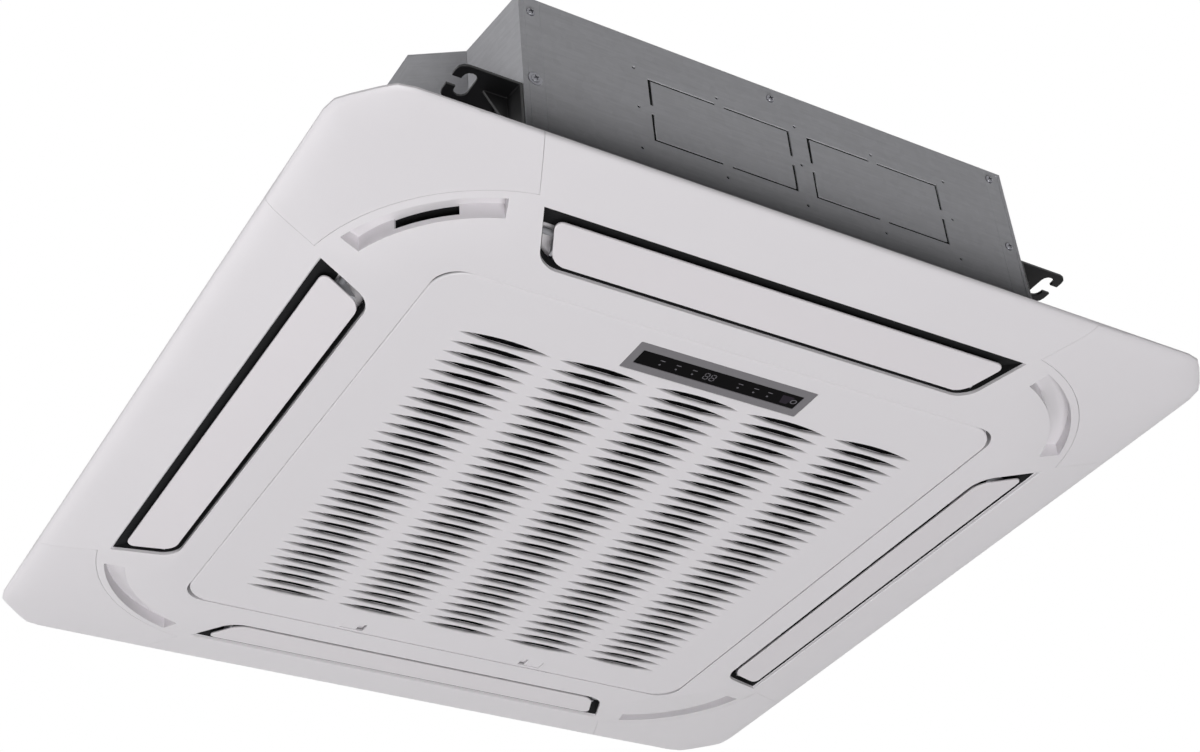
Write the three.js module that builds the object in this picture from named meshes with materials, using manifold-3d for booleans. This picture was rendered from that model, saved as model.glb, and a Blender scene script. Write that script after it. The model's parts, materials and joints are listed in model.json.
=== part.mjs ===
// Four-way ceiling cassette air conditioner: a sheet-metal casing above the ceiling and a square panel below it.
// Millimetres, +Z up. The origin is the centre of the ceiling plane, and the front, with the display, is -Y.
// The panel's rim seats on the ceiling plane from below, and the casing hangs above it on four hooks.

import * as THREE from 'three';
import { mergeGeometries, mergeVertices } from 'three/addons/utils/BufferGeometryUtils.js';
import Module from 'manifold-3d';

const wasm = await Module();
wasm.setup();

// Units of angle, and facet counts
const degree = Math.PI / 180;
const quarterTurn = 90 * degree;
const filletSteps = 3;
const arcSteps = 8;
const bendSteps = 4;
const pinSides = 10;
const tubeSides = 10;
const roundSides = 18;
const fanSides = 28;

// Clearances, and how far a cut runs past what it cuts
const overrun = 5;
const seatGap = 0.3;
const coverGap = 0.4;
const grilleGap = 0.8;
const bearingGap = 0.5;

// Finishes
const whitePlastic = { color: 0xdcdbdd, roughness: 0.45, metalness: 0 };
const greyPlastic = { color: 0x8d8d90, roughness: 0.5, metalness: 0 };
const blackGloss = { color: 0x141317, roughness: 0.12, metalness: 0 };
const darkPlastic = { color: 0x2c2c2e, roughness: 0.6, metalness: 0 };
const greenBoard = { color: 0x2c5a3a, roughness: 0.6, metalness: 0 };
const galvanised = { color: 0x8d8e90, roughness: 0.42, metalness: 0.8 };
const blackSteel = { color: 0x1d1c1e, roughness: 0.5, metalness: 0.4 };
const foam = { color: 0xe9e9e6, roughness: 0.95, metalness: 0 };
const greyFoam = { color: 0x4a4a4c, roughness: 0.95, metalness: 0 };
const finStock = { color: 0xb9bcc0, roughness: 0.4, metalness: 0.9 };
const copper = { color: 0xb06a48, roughness: 0.35, metalness: 0.9 };
const brass = { color: 0xb89a55, roughness: 0.35, metalness: 0.9 };
const meshGrey = { color: 0x3a3b3d, roughness: 0.8, metalness: 0 };
const rubber = { color: 0x222222, roughness: 0.9, metalness: 0 };

// Panel: the square form, its sloped flanks and its rolled rim
const panelSide = 950;
const panelHalf = panelSide / 2;
const panelDrop = 26;
const faceZ = -panelDrop;
const skin = 3;
const wall = 2.5;
const cornerLeg = 42;
const cornerReach = 236;
const arcCentre = panelHalf - cornerReach;
const rimSeat = 2;
const rollRise = 5.5;
const rimRise = panelDrop - rimSeat;
const flankRise = rimRise - rollRise;
const rollPower = 6;
const rimShares = [0.6, 0.9, 1];
const cornerAngleShares = [0, 0.35, 0.7, 1];

// Outlets: one in each flank, with a duct that narrows to meet the casing
const outletRimMargin = 68;
const outletDepth = 61;
const outletRise = 9;
const outletEndSetback = 1.5;
const outletSpread = 28;
const outletOuter = panelHalf - outletRimMargin;
const outletInner = outletOuter - outletDepth;
const outletHalfInner = arcCentre - outletEndSetback;
const outletHalfOuter = outletHalfInner + outletSpread;
const outletRadius = 27;
const ductNeck = 12;
const ductLean = 22;
const ductTopDepth = 48;
const ductTopInner = outletInner - ductLean;
const ductTopOuter = ductTopInner + ductTopDepth;
const ductTopGap = 0.5;
const ductRoof = 2.5;
const ductMouthMargin = 79.5;
const ductMouthHalf = outletHalfInner - ductMouthMargin;
const outletFlare = (outletHalfOuter - outletHalfInner) / (outletOuter - outletInner);
const flankSlope = outletRise / (outletOuter - outletInner);
const flatReach = outletInner - arcCentre;

// Corners: the covers, the arc slots and the trays under the covers
const coverRimMargin = 53;
const coverReach = cornerReach - coverRimMargin;
const coverSeamOut = 37;
const coverSeamSpread = 26;
const coverSeamStart = arcCentre + coverSeamOut;
const coverSeamEnd = coverSeamStart + coverSeamSpread;
const coverLip = 2;
const slotSetback = 8;
const slotWidth = 22;
const slotOuter = coverReach - slotSetback;
const slotInner = slotOuter - slotWidth;
const slotHalfAngle = 25.5 * degree;
const mouthHalfAngle = 11 * degree;
const mouthSill = 12;
const slotFloorGap = 0.5;
const slotFloor = 2;
const trayTopGap = 1.5;
const trayRoof = 2.5;
const trayMargin = 6;
const fixingHoleRadius = 14;
const fixingHoleReach = 232;

// Intake grille: a plate with columns of lens-shaped slots
const frameBar = 34;
const grilleHalf = outletInner - frameBar;
const grilleRadius = 30;
const grillePlate = 4;
const grilleChamfer = 2;
const lensSideMargin = 49.5;
const lensGap = 9;
const lensFrontMargin = 77.3;
const lensRearMargin = 52.56;
const lensHeight = 10.5;
const lensSteps = 3;
const lensColumns = 5;
const lensRows = 32;
const lensColumnPitch = 2 * (grilleHalf - lensSideMargin) / lensColumns;
const lensLength = lensColumnPitch - lensGap;
const lensFirstRow = lensFrontMargin - grilleHalf;
const lensLastRow = grilleHalf - lensRearMargin;
const lensRowPitch = (lensLastRow - lensFirstRow) / (lensRows - 1);
const ribWidth = 3;
const ribHeight = 7.7;
const ribLead = 9.3;
const ribTail = 10.56;
const ribStart = lensFirstRow - ribLead;
const ribEnd = lensLastRow + ribTail;
const skirtWall = 2;
const skirtHeight = 10;
const skirtSetback = 6;
const skirtFrontSetback = 14.5;
const skirtRearSetback = 24;
const skirtHalf = grilleHalf - skirtSetback;
const skirtFront = grilleHalf - skirtFrontSetback;
const skirtRear = grilleHalf - skirtRearSetback;
const skirtRadius = 24;

// Air filter, held on the grille's back in two rails
const filterSideMargin = 46;
const filterFrontMargin = 66;
const filterRearMargin = 40;
const filterHalf = grilleHalf - filterSideMargin;
const filterFront = filterFrontMargin - grilleHalf;
const filterRear = grilleHalf - filterRearMargin;
const filterBorder = 10;
const filterOpeningHalf = filterHalf - filterBorder;
const filterFrameHeight = 3.2;
const filterMeshHeight = 0.8;
const filterRib = 3;
const filterRibCount = 5;
const railWall = 2;
const railLip = 5;

// Grille hinge: curved claws that turn on cradles, about an axis at the plate's front edge
const hingeInset = 3.5;
const hingeRise = 3.5;
const cradleInner = 4.6;
const cradleOuter = 7;
const clawInner = 7.3;
const clawOuter = 10;
const clawWidth = 16;
const clawSpacing = 360;
const cradleStart = 30 * degree;
const cradleEnd = 180 * degree;
const clawStart = -3 * degree;
const clawEnd = 108 * degree;

// Grille latches: two sprung sliders near the rear edge
const latchX = 113.5;
const latchSetback = 12;
const latchY = grilleHalf - latchSetback;
const latchWindow = 28;
const latchWindowDepth = 14;
const latchTab = 19.5;
const latchTravel = 8;
const latchRecess = 0.4;
const latchPlateLength = 50;
const latchPlateDepth = 18;
const latchPlate = 1.8;
const latchGuide = 2;
const latchGuideLip = 1.5;
const tongueWidth = 12;
const tongueGap = 0.5;
const keeperDepth = 1.4;

// Frame window round the grille, and the gasket on its ledge
const windowRadiusCut = 4;
const windowRadius = grilleRadius - windowRadiusCut;
const ledgeDepth = 12;
const ledgeInner = grilleHalf - ledgeDepth;
const ledgeHeight = 2;
const ledgeTop = -3;
const gasketSetback = 1;
const gasketWidth = 12;
const gasketInner = ledgeInner + gasketSetback;
const gasketOuter = gasketInner + gasketWidth;
const panBottom = 2;

// Display: bezel, dark window and board housing
const displayX = 2;
const displaySetback = 41;
const displayY = displaySetback - grilleHalf;
const displayLength = 200;
const displayDepth = 42;
const displayRadius = 1.5;
const windowEnd = 9;
const windowLength = displayLength - 2 * windowEnd;
const windowDepth = displayDepth / 2;
const windowOffset = 0.25;
const windowThick = 2.2;
const windowSetback = 0.3;
const boardSetback = 4;
const boardLength = displayLength - 2 * boardSetback;
const boardDepth = displayDepth - boardSetback;
const boardHeight = 7;

// Vanes: blades that lie flush in the outlets and turn on end pins
const vaneInnerGap = 6;
const vaneOuterGap = 9;
const vaneEndGapInner = 9.5;
const vaneEndGapOuter = 15.5;
const vaneInner = outletInner + vaneInnerGap;
const vaneOuter = outletOuter - vaneOuterGap;
const vaneHalfInner = outletHalfInner - vaneEndGapInner;
const vaneHalfOuter = outletHalfOuter - vaneEndGapOuter;
const vaneInnerRadius = 20;
const vaneOuterRadius = 7;
const vaneThick = 2.6;
const pivotSetback = 3;
const pivotReach = (outletInner + outletOuter) / 2 - pivotSetback;
const vaneArmInset = 7;
const vaneArmFace = vaneHalfInner + vaneArmInset;
const vaneArm = 3;
const vaneArmFoot = 14;
const vaneArmHead = 5;
const pinRadius = 3;
const bossRadius = 7;
const stepperRadius = 9;
const stepperLength = 15;
const stepperEar = 3;
const stepperGap = 0.9426;
const pivotRise = (pivotReach - outletInner) * flankSlope + skin + stepperGap + stepperRadius;
const bossEnd = outletHalfAt(pivotReach + stepperRadius + stepperEar) + wall;
const pinEnd = bossEnd - bearingGap;

// Casing: sheet-metal walls with notched corners for the hanging rods
const casingTop = 225;
const sheet = 1.2;
const panelLap = 57;
const sideSetback = 40;
const notchDepth = 85;
const notchWidth = 126;
const frontTaper = 8;
const cheekDrop = 29;
const cheekSetback = 39;
const cheekLength = 114;
const sideTaper = 25;
const casingDepth = panelHalf - panelLap;
const sideX = casingDepth - sideSetback;
const notchX = casingDepth - notchWidth;
const notchY = casingDepth - notchDepth;
const frontHalf = notchX - frontTaper;
const cheekX = sideX - cheekSetback;
const cheekTop = notchY - cheekDrop;
const cheekEnd = cheekTop - cheekLength;
const sideHalf = cheekEnd - sideTaper;
const wallBottom = 0.3;
const beadWidth = 14;
const beadDepth = 2.5;
const beadLength = 420;
const beadSpacing = 250;

// Knock-outs for fresh air in the front wall
const knockoutLength = 160;
const knockoutHeight = 78;
const knockoutX = [-70, 110.5];
const knockoutZ = 137;
const knockoutSlit = 3;
const knockoutBridge = 10;

// Plan of the coil, which the drain pan's gutter follows
const coilThick = 34;
const coilSetback = 78;
const coilOuter = sideX - coilSetback;
const coilInner = coilOuter - coilThick;
const coilOuterRadius = 60;
const coilInnerRadius = coilOuterRadius - coilThick;

// Foam liner and drain pan
const linerGap = 0.4;
const linerWall = 9;
const linerTop = 12;
const panTop = 50;
const panRim = 7;
const panHoleRadius = 40;
const panOutletLap = 2;
const panOutletBack = 16;
const panOutletSideBack = 14;
const panOutletEnd = 89;
const panOutletSideEnd = 17;
const panOutletInner = ductTopInner - panOutletLap;
const panOutletFront = casingDepth - panOutletBack;
const panOutletSide = sideX - panOutletSideBack;
const panOutletHalf = frontHalf - panOutletEnd;
const panOutletSideHalf = sideHalf - panOutletSideEnd;
const panOutletRadius = 12;
const gutterMargin = 4;
const gutterWiden = 6;
const gutterInner = coilInner - gutterMargin;
const gutterOuter = coilOuter + gutterWiden;
const panHoleHalf = gutterInner - panRim;
const gutterFloor = 25;
const gutterInnerRadius = coilInnerRadius;
const gutterOuterRadius = coilOuterRadius + gutterWiden;

// Coil: one slab bent round the fan, open at the pipe corner
const coilTopGap = 18;
const coilTop = casingTop - coilTopGap;
const coilCornerCut = 78;
const coilEnd = coilInner - coilCornerCut;
const endPlate = 1.5;
const endPlateMargin = 3;
const bendRadius = 9;
const bendTube = 3.6;
const bendRows = 4;
const bendSides = 6;
const bendStraight = 4;
const baffle = 1.2;
const baffleBow = 30;

// Fan, its motor and the bell mouth
const fanGap = 36;
const fanEyeShare = 0.73;
const bladeInnerShare = 0.53;
const fanRadius = coilInner - fanGap;
const fanEye = fanRadius * fanEyeShare;
const bladeInner = fanRadius * bladeInnerShare;
const shroudRise = 30;
const fanTopGap = 29;
const fanBackZ = casingTop - fanTopGap;
const fanSkin = 2.4;
const hubRadius = 14;
const hubHeight = 14;
const domeFootShare = 0.8;
const domeShare = 0.82;
const domeFootRadius = bladeInner * domeFootShare;
const domeRadius = domeFootRadius * domeShare;
const domeDrop = 60;
const hubDrop = 14;
const domeZ = fanBackZ - domeDrop;
const hubZ = domeZ - hubDrop;
const bladeCount = 7;
const eyeLap = 8;
const bladeEyeInner = fanEye - eyeLap;
const bladeClearance = 5;
const bladeSweep = 52 * degree;
const bladeThick = 4.5;
const bladeTip = 1.6;
const bladeSteps = 5;
const bladeCurve = 1.2;
const bladeNoseShare = 0.12;
const hubFaceShare = 0.6;
const shaftRadius = 4;
const shaftStub = 10;
const shaftEnd = hubZ - shaftStub;
const nutRadius = 9;
const nutHeight = 6;
const motorShare = 0.775;
const motorRadius = domeRadius * motorShare;
const motorTopGap = 19;
const motorLength = 63;
const motorTop = casingTop - motorTopGap;
const motorBottom = motorTop - motorLength;
const motorRound = 6;
const motorFlangeWidth = 10;
const motorFlange = motorRadius + motorFlangeWidth;
const motorFlangeHeight = 3;
const bracketMargin = 4;
const bracketRadius = motorFlange + bracketMargin;
const bracketHoleGap = 2;
const bellPlateZ = 34;
const bellPlate = 2;
const bellFlare = 40;
const bellThroat = fanEye - eyeLap;
const bellMouth = bellThroat + bellFlare;
const bellRise = 30;
const bellTop = bellPlateZ + bellRise;
const fanEyeZ = bellTop - eyeLap;
const fanShroudZ = fanEyeZ + shroudRise;
const bellCorner = 39.5;
const bellSteps = 4;

// Electrical box, its board and lid, and the room sensor, under the bell mouth
const boxShare = 0.47;
const boxHalf = panHoleHalf * boxShare;
const boxSetback = 3;
const boxDepth = 47;
const boxFront = panHoleHalf - boxSetback;
const boxRear = boxFront - boxDepth;
const boxBottom = 5;
const boxWall = 1.2;
const boardMargin = 8;
const boardThick = 1.6;
const boardRise = 10;
const relayHeight = 9;
const relayCount = 4;
const relayWidth = 16;
const sensorShare = 0.33;
const sensorSetback = 27;
const sensorX = boxHalf + (panHoleHalf - boxHalf) * sensorShare;
const sensorY = panHoleHalf - sensorSetback;
const sensorRadius = 3;
const sensorLength = 26;
const sensorClip = 5;

// Drain pump, float switch and drain pipe in the rear left corner
const sumpInset = 42;
const sumpDepth = 38;
const sumpSetback = 38;
const sumpX = sumpInset - notchX;
const sumpRear = casingDepth - sumpSetback;
const sumpFront = sumpRear - sumpDepth;
const sumpRadius = 28;
const sumpFloor = 18;
const sumpLid = 2;
const pumpRadius = 25;
const pumpHeight = 52;
const pumpCage = 16;
const pumpCap = 14;
const pumpCapHeight = 14;
const floatRadius = 9;
const floatHeight = 12;
const floatRise = 4;
const floatTravel = 12;
const stemRadius = 2.5;
const drainRadius = 10;
const drainZ = 165;
const drainBend = 24;
const drainStub = 30;
const drainReach = casingDepth + drainStub;

// Refrigerant pipes, their nuts and the cover where they leave the rear wall
const pipeInset = 34;
const pipeSpacing = 36;
const liquidX = notchX - pipeInset;
const gasX = liquidX - pipeSpacing;
const gasZ = 150;
const gasRadius = 7.95;
const liquidZ = 112;
const liquidRadius = 4.75;
const pipeStartGap = 18;
const pipeStartY = coilOuter + pipeStartGap;
const pipeFootGap = 6;
const pipeFoot = panTop + pipeFootGap;
const pipeBend = 20;
const pipeStub = 34;
const pipeReach = casingDepth + pipeStub;
const nutLength = 20;
const nutShare = 1.7;
const portHalfX = 36;
const portHalfZ = 40;
const portX = (gasX + liquidX) / 2;
const portZ = (gasZ + liquidZ) / 2;
const portLap = 8;
const grommetGap = 82;
const grommetX = gasX - grommetGap;
const grommetZ = 185;
const grommetRadius = 14;
const grommetBore = 9;
const grommetFlange = 3;

// Hanging hooks: open slots for threaded rods, one in each corner notch
const rodOut = 38;
const rodSetback = 23;
const rodX = notchX + rodOut;
const rodY = casingDepth - rodSetback;
const hookZ = 110;
const hookPlate = 3;
const hookSlotRadius = 6.5;
const hookSlotHalf = 8.5;
const hookEntry = 11;
const hookTip = 16;
const hookArmFront = 22;
const hookArmRear = 23;
const hookRadius = 9;
const hookDrop = 50;
const gussetReach = 26;
const gussetDrop = 36;

// Solids from geometry: shared corners are merged, and a body that came out inside out is turned
function manifoldOf(position, index) {
  const vertProperties = new Float32Array(position);
  const triVerts = new Uint32Array(index);
  return new wasm.Manifold(new wasm.Mesh({ numProp: 3, vertProperties, triVerts }));
}

function solid(geometry) {
  const bare = geometry.clone();
  bare.deleteAttribute('normal');
  bare.deleteAttribute('uv');
  const merged = mergeVertices(bare);
  const corners = Array.from(merged.index.array);
  const index = [];
  for (let i = 0; i < corners.length; i += 3) {
    const [a, b, c] = corners.slice(i, i + 3);
    if (a !== b && b !== c && c !== a) index.push(a, b, c);
  }
  const body = manifoldOf(merged.attributes.position.array, index);
  if (body.volume() >= 0) return body;
  return manifoldOf(merged.attributes.position.array, index.reverse());
}

function joined(bodies) {
  return bodies.reduce((whole, body) => whole.add(body));
}

function cut(body, tools) {
  return tools.reduce((rest, tool) => rest.subtract(tool), body);
}

function meshOf(name, body, finish) {
  const { vertProperties, triVerts } = body.getMesh();
  const geometry = new THREE.BufferGeometry();
  geometry.setAttribute('position', new THREE.BufferAttribute(vertProperties, 3));
  geometry.setIndex(new THREE.BufferAttribute(triVerts, 1));
  geometry.computeVertexNormals();
  const mesh = new THREE.Mesh(geometry, new THREE.MeshStandardMaterial(finish));
  mesh.name = name;
  return mesh;
}

// Outlines in a plane
function points(pairs) {
  return pairs.map(([x, y]) => new THREE.Vector2(x, y));
}

function arc(x, y, radius, start, end, steps = arcSteps) {
  return Array.from({ length: steps + 1 }, (_, i) => {
    const angle = start + ((end - start) * i) / steps;
    return new THREE.Vector2(x + radius * Math.cos(angle), y + radius * Math.sin(angle));
  });
}

function ringSector(x, y, inner, outer, start, end, steps = arcSteps) {
  return [...arc(x, y, outer, start, end, steps), ...arc(x, y, inner, end, start, steps)];
}

function rounded(corners, radii, steps = filletSteps) {
  return corners.flatMap((corner, i) => {
    if (!radii[i]) return [corner];
    const back = corners.at(i - 1).clone().sub(corner).normalize();
    const ahead = corners[(i + 1) % corners.length].clone().sub(corner).normalize();
    const half = back.angleTo(ahead) / 2;
    const centre = back.clone().add(ahead).normalize();
    centre.multiplyScalar(radii[i] / Math.sin(half)).add(corner);
    const from = corner.clone().addScaledVector(back, radii[i] / Math.tan(half)).sub(centre);
    const to = corner.clone().addScaledVector(ahead, radii[i] / Math.tan(half)).sub(centre);
    const sweep = Math.atan2(from.cross(to), from.dot(to));
    return arc(centre.x, centre.y, radii[i], from.angle(), from.angle() + sweep, steps);
  });
}

function rectangle(x0, x1, y0, y1, radius = 0) {
  const corners = points([[x0, y0], [x1, y0], [x1, y1], [x0, y1]]);
  return rounded(corners, Array(corners.length).fill(radius));
}

function square(half, radius = 0) {
  return rectangle(-half, half, -half, half, radius);
}

// The same outline moved inwards, each side by the same distance
function insetOutline(outline, distance) {
  return outline.map((corner, i) => {
    const back = corner.clone().sub(outline.at(i - 1)).normalize();
    const ahead = outline[(i + 1) % outline.length].clone().sub(corner).normalize();
    const inward = new THREE.Vector2(-back.y - ahead.y, back.x + ahead.x).normalize();
    const stretch = Math.sqrt((1 + back.dot(ahead)) / 2);
    return corner.clone().addScaledVector(inward, distance / stretch);
  });
}

// Bodies of simple form
function prism(outline, low, high) {
  const shape = new THREE.Shape(outline);
  const geometry = new THREE.ExtrudeGeometry(shape, { depth: high - low, bevelEnabled: false });
  return geometry.translate(0, 0, low);
}

function prismAlongX(outline, low, high) {
  const basis = new THREE.Matrix4();
  basis.makeBasis(new THREE.Vector3(0, 1, 0), new THREE.Vector3(0, 0, 1), new THREE.Vector3(1, 0, 0));
  return prism(outline, low, high).applyMatrix4(basis);
}

function prismAlongY(outline, low, high) {
  const basis = new THREE.Matrix4();
  basis.makeBasis(new THREE.Vector3(1, 0, 0), new THREE.Vector3(0, 0, 1), new THREE.Vector3(0, 1, 0));
  return prism(outline, low, high).applyMatrix4(basis);
}

function block(x0, x1, y0, y1, z0, z1) {
  const geometry = new THREE.BoxGeometry(x1 - x0, y1 - y0, z1 - z0);
  return geometry.translate((x0 + x1) / 2, (y0 + y1) / 2, (z0 + z1) / 2);
}

function rodUp(radius, low, high, sides = roundSides) {
  const geometry = new THREE.CylinderGeometry(radius, radius, high - low, sides);
  return geometry.rotateX(quarterTurn).translate(0, 0, (low + high) / 2);
}

function rodAlongX(radius, low, high, sides = pinSides) {
  const geometry = new THREE.CylinderGeometry(radius, radius, high - low, sides);
  return geometry.rotateZ(quarterTurn).translate((low + high) / 2, 0, 0);
}

function rodAlongY(radius, low, high, sides = roundSides) {
  const geometry = new THREE.CylinderGeometry(radius, radius, high - low, sides);
  return geometry.translate(0, (low + high) / 2, 0);
}

function turned(profile, sides = roundSides) {
  return new THREE.LatheGeometry(points(profile), sides).rotateX(quarterTurn);
}

// A closed body through convex rings that have equally many points
function loft(rings) {
  const count = rings[0].length;
  const position = rings.flatMap((ring) => ring.flatMap((p) => [p.x, p.y, p.z]));
  const index = [];
  for (let ring = 0; ring < rings.length - 1; ring += 1) {
    for (let i = 0; i < count; i += 1) {
      const a = ring * count + i;
      const b = ring * count + ((i + 1) % count);
      index.push(a, b, b + count, a, b + count, a + count);
    }
  }
  const last = (rings.length - 1) * count;
  for (let i = 1; i < count - 1; i += 1) {
    index.push(0, i + 1, i, last, last + i, last + i + 1);
  }
  const geometry = new THREE.BufferGeometry();
  geometry.setAttribute('position', new THREE.Float32BufferAttribute(position, 3));
  geometry.setIndex(index);
  return geometry;
}

function level(outline, z) {
  return outline.map((p) => new THREE.Vector3(p.x, p.y, z));
}

// A round bar along a route in the plane that the side vector stands on
function tube(route, radius, side, sides = tubeSides) {
  const rings = route.map((centre, i) => {
    const before = route[Math.max(i - 1, 0)];
    const after = route[Math.min(i + 1, route.length - 1)];
    const along = after.clone().sub(before).normalize();
    const across = along.clone().cross(side);
    return arc(0, 0, radius, 0, 4 * quarterTurn, sides).slice(0, sides).map((p) => {
      return centre.clone().addScaledVector(side, p.x).addScaledVector(across, p.y);
    });
  });
  return loft(rings);
}

// The four sides of the panel are quarter turns of the front one
function aroundPanel(geometry) {
  return [0, 1, 2, 3].map((turns) => solid(geometry.clone().rotateZ(turns * quarterTurn)));
}

// Panel form: a rounded square that slopes up from the flat face and ends in the chamfered rim
function rimReach(angle) {
  const side = panelHalf - arcCentre;
  const across = Math.cos(angle) + Math.sin(angle);
  const straight = Math.max(Math.cos(angle), Math.sin(angle));
  return Math.min(side / straight, (2 * side - cornerLeg) / across);
}

function panelRing(reach, share, inset) {
  const side = panelHalf - arcCentre;
  const chamferStart = Math.atan2(side - cornerLeg, side);
  const rising = cornerAngleShares.map((s) => s * chamferStart);
  const angles = [...rising, quarterTurn / 2, ...rising.map((a) => quarterTurn - a).reverse()];
  return [0, 1, 2, 3].flatMap((turns) => angles.map((angle) => {
    const rim = rimReach(angle) - inset;
    const radius = reach + (rim - reach) * share;
    const corner = new THREE.Vector2(arcCentre + radius * Math.cos(angle), arcCentre + radius * Math.sin(angle));
    return corner.rotateAround(new THREE.Vector2(), turns * quarterTurn);
  }));
}

function riseAt(share) {
  const coverRise = (coverReach - flatReach) * flankSlope;
  const roll = 1 - Math.sqrt(1 - share ** rollPower);
  return coverRise + (flankRise - coverRise) * share + (rimRise - flankRise) * roll;
}

function panelForm(inset) {
  const low = faceZ + inset;
  const top = inset ? inset + overrun : 0;
  return loft([
    level(panelRing(flatReach, 0, inset), low),
    level(panelRing(coverReach, 0, inset), low + riseAt(0)),
    ...rimShares.map((share) => level(panelRing(coverReach, share, inset), low + riseAt(share))),
    level(panelRing(coverReach, 1, inset), top),
  ]);
}

// The corner that a cover fills: outside an arc, and between two seams that run to the rim
function coverOutline(gap) {
  const reach = coverReach + gap;
  const start = Math.asin((coverSeamStart + gap - arcCentre) / reach);
  const seamFoot = arcCentre + Math.sqrt(coverReach ** 2 - (coverSeamStart - arcCentre) ** 2);
  const seamSlope = (coverSeamEnd - coverSeamStart) / (panelHalf - seamFoot);
  const far = panelHalf + overrun;
  const seam = coverSeamEnd + gap + overrun * seamSlope;
  const bow = arc(arcCentre, arcCentre, reach, start, quarterTurn - start);
  return [...bow, ...points([[seam, far], [far, far], [far, seam]])];
}

function outletHalfAt(reach) {
  return outletHalfInner + (reach - outletInner) * outletFlare;
}

function outletOutline(inner, outer, grow) {
  const nearHalf = outletHalfAt(inner) + grow;
  const farHalf = outletHalfAt(outer) + grow;
  const corners = points([
    [-farHalf, -outer - grow],
    [farHalf, -outer - grow],
    [nearHalf, -inner + grow],
    [-nearHalf, -inner + grow],
  ]);
  return rounded(corners, [0, 0, outletRadius, outletRadius]);
}

function duct(grow, low, high) {
  const lower = outletOutline(outletInner, outletOuter, grow);
  const upper = outletOutline(ductTopInner, ductTopOuter, grow);
  return loft([
    level(lower, low),
    level(lower, faceZ + ductNeck),
    level(upper, -ductTopGap),
    ...(high > -ductTopGap ? [level(upper, high)] : []),
  ]);
}

// Roofs over the ducts' ends, where the casing is narrower than the outlet
function ductRoofs() {
  const far = outletHalfOuter + overrun;
  return [-1, 1].flatMap((side) => {
    const span = [side * ductMouthHalf, side * far].sort((a, b) => a - b);
    const slab = block(...span, -outletOuter, -ductTopInner + wall, -ductTopGap - ductRoof, -ductTopGap);
    return aroundPanel(slab);
  });
}

// Bearings of the vanes in the ducts' end walls
function bearing(radius, low, high) {
  return [-1, 1].flatMap((side) => {
    const rod = rodAlongX(radius, low * side, high * side).translate(0, -pivotReach, faceZ + pivotRise);
    return aroundPanel(rod);
  });
}

function hingeArc(inner, outer, start, end, x) {
  const y = -grilleHalf + hingeInset;
  const sector = ringSector(y, faceZ + hingeRise, inner, outer, start, end, filletSteps * 2);
  return solid(prismAlongX(sector, x - clawWidth / 2, x + clawWidth / 2));
}

const clawPlaces = [-clawSpacing / 2, clawSpacing / 2];

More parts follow.
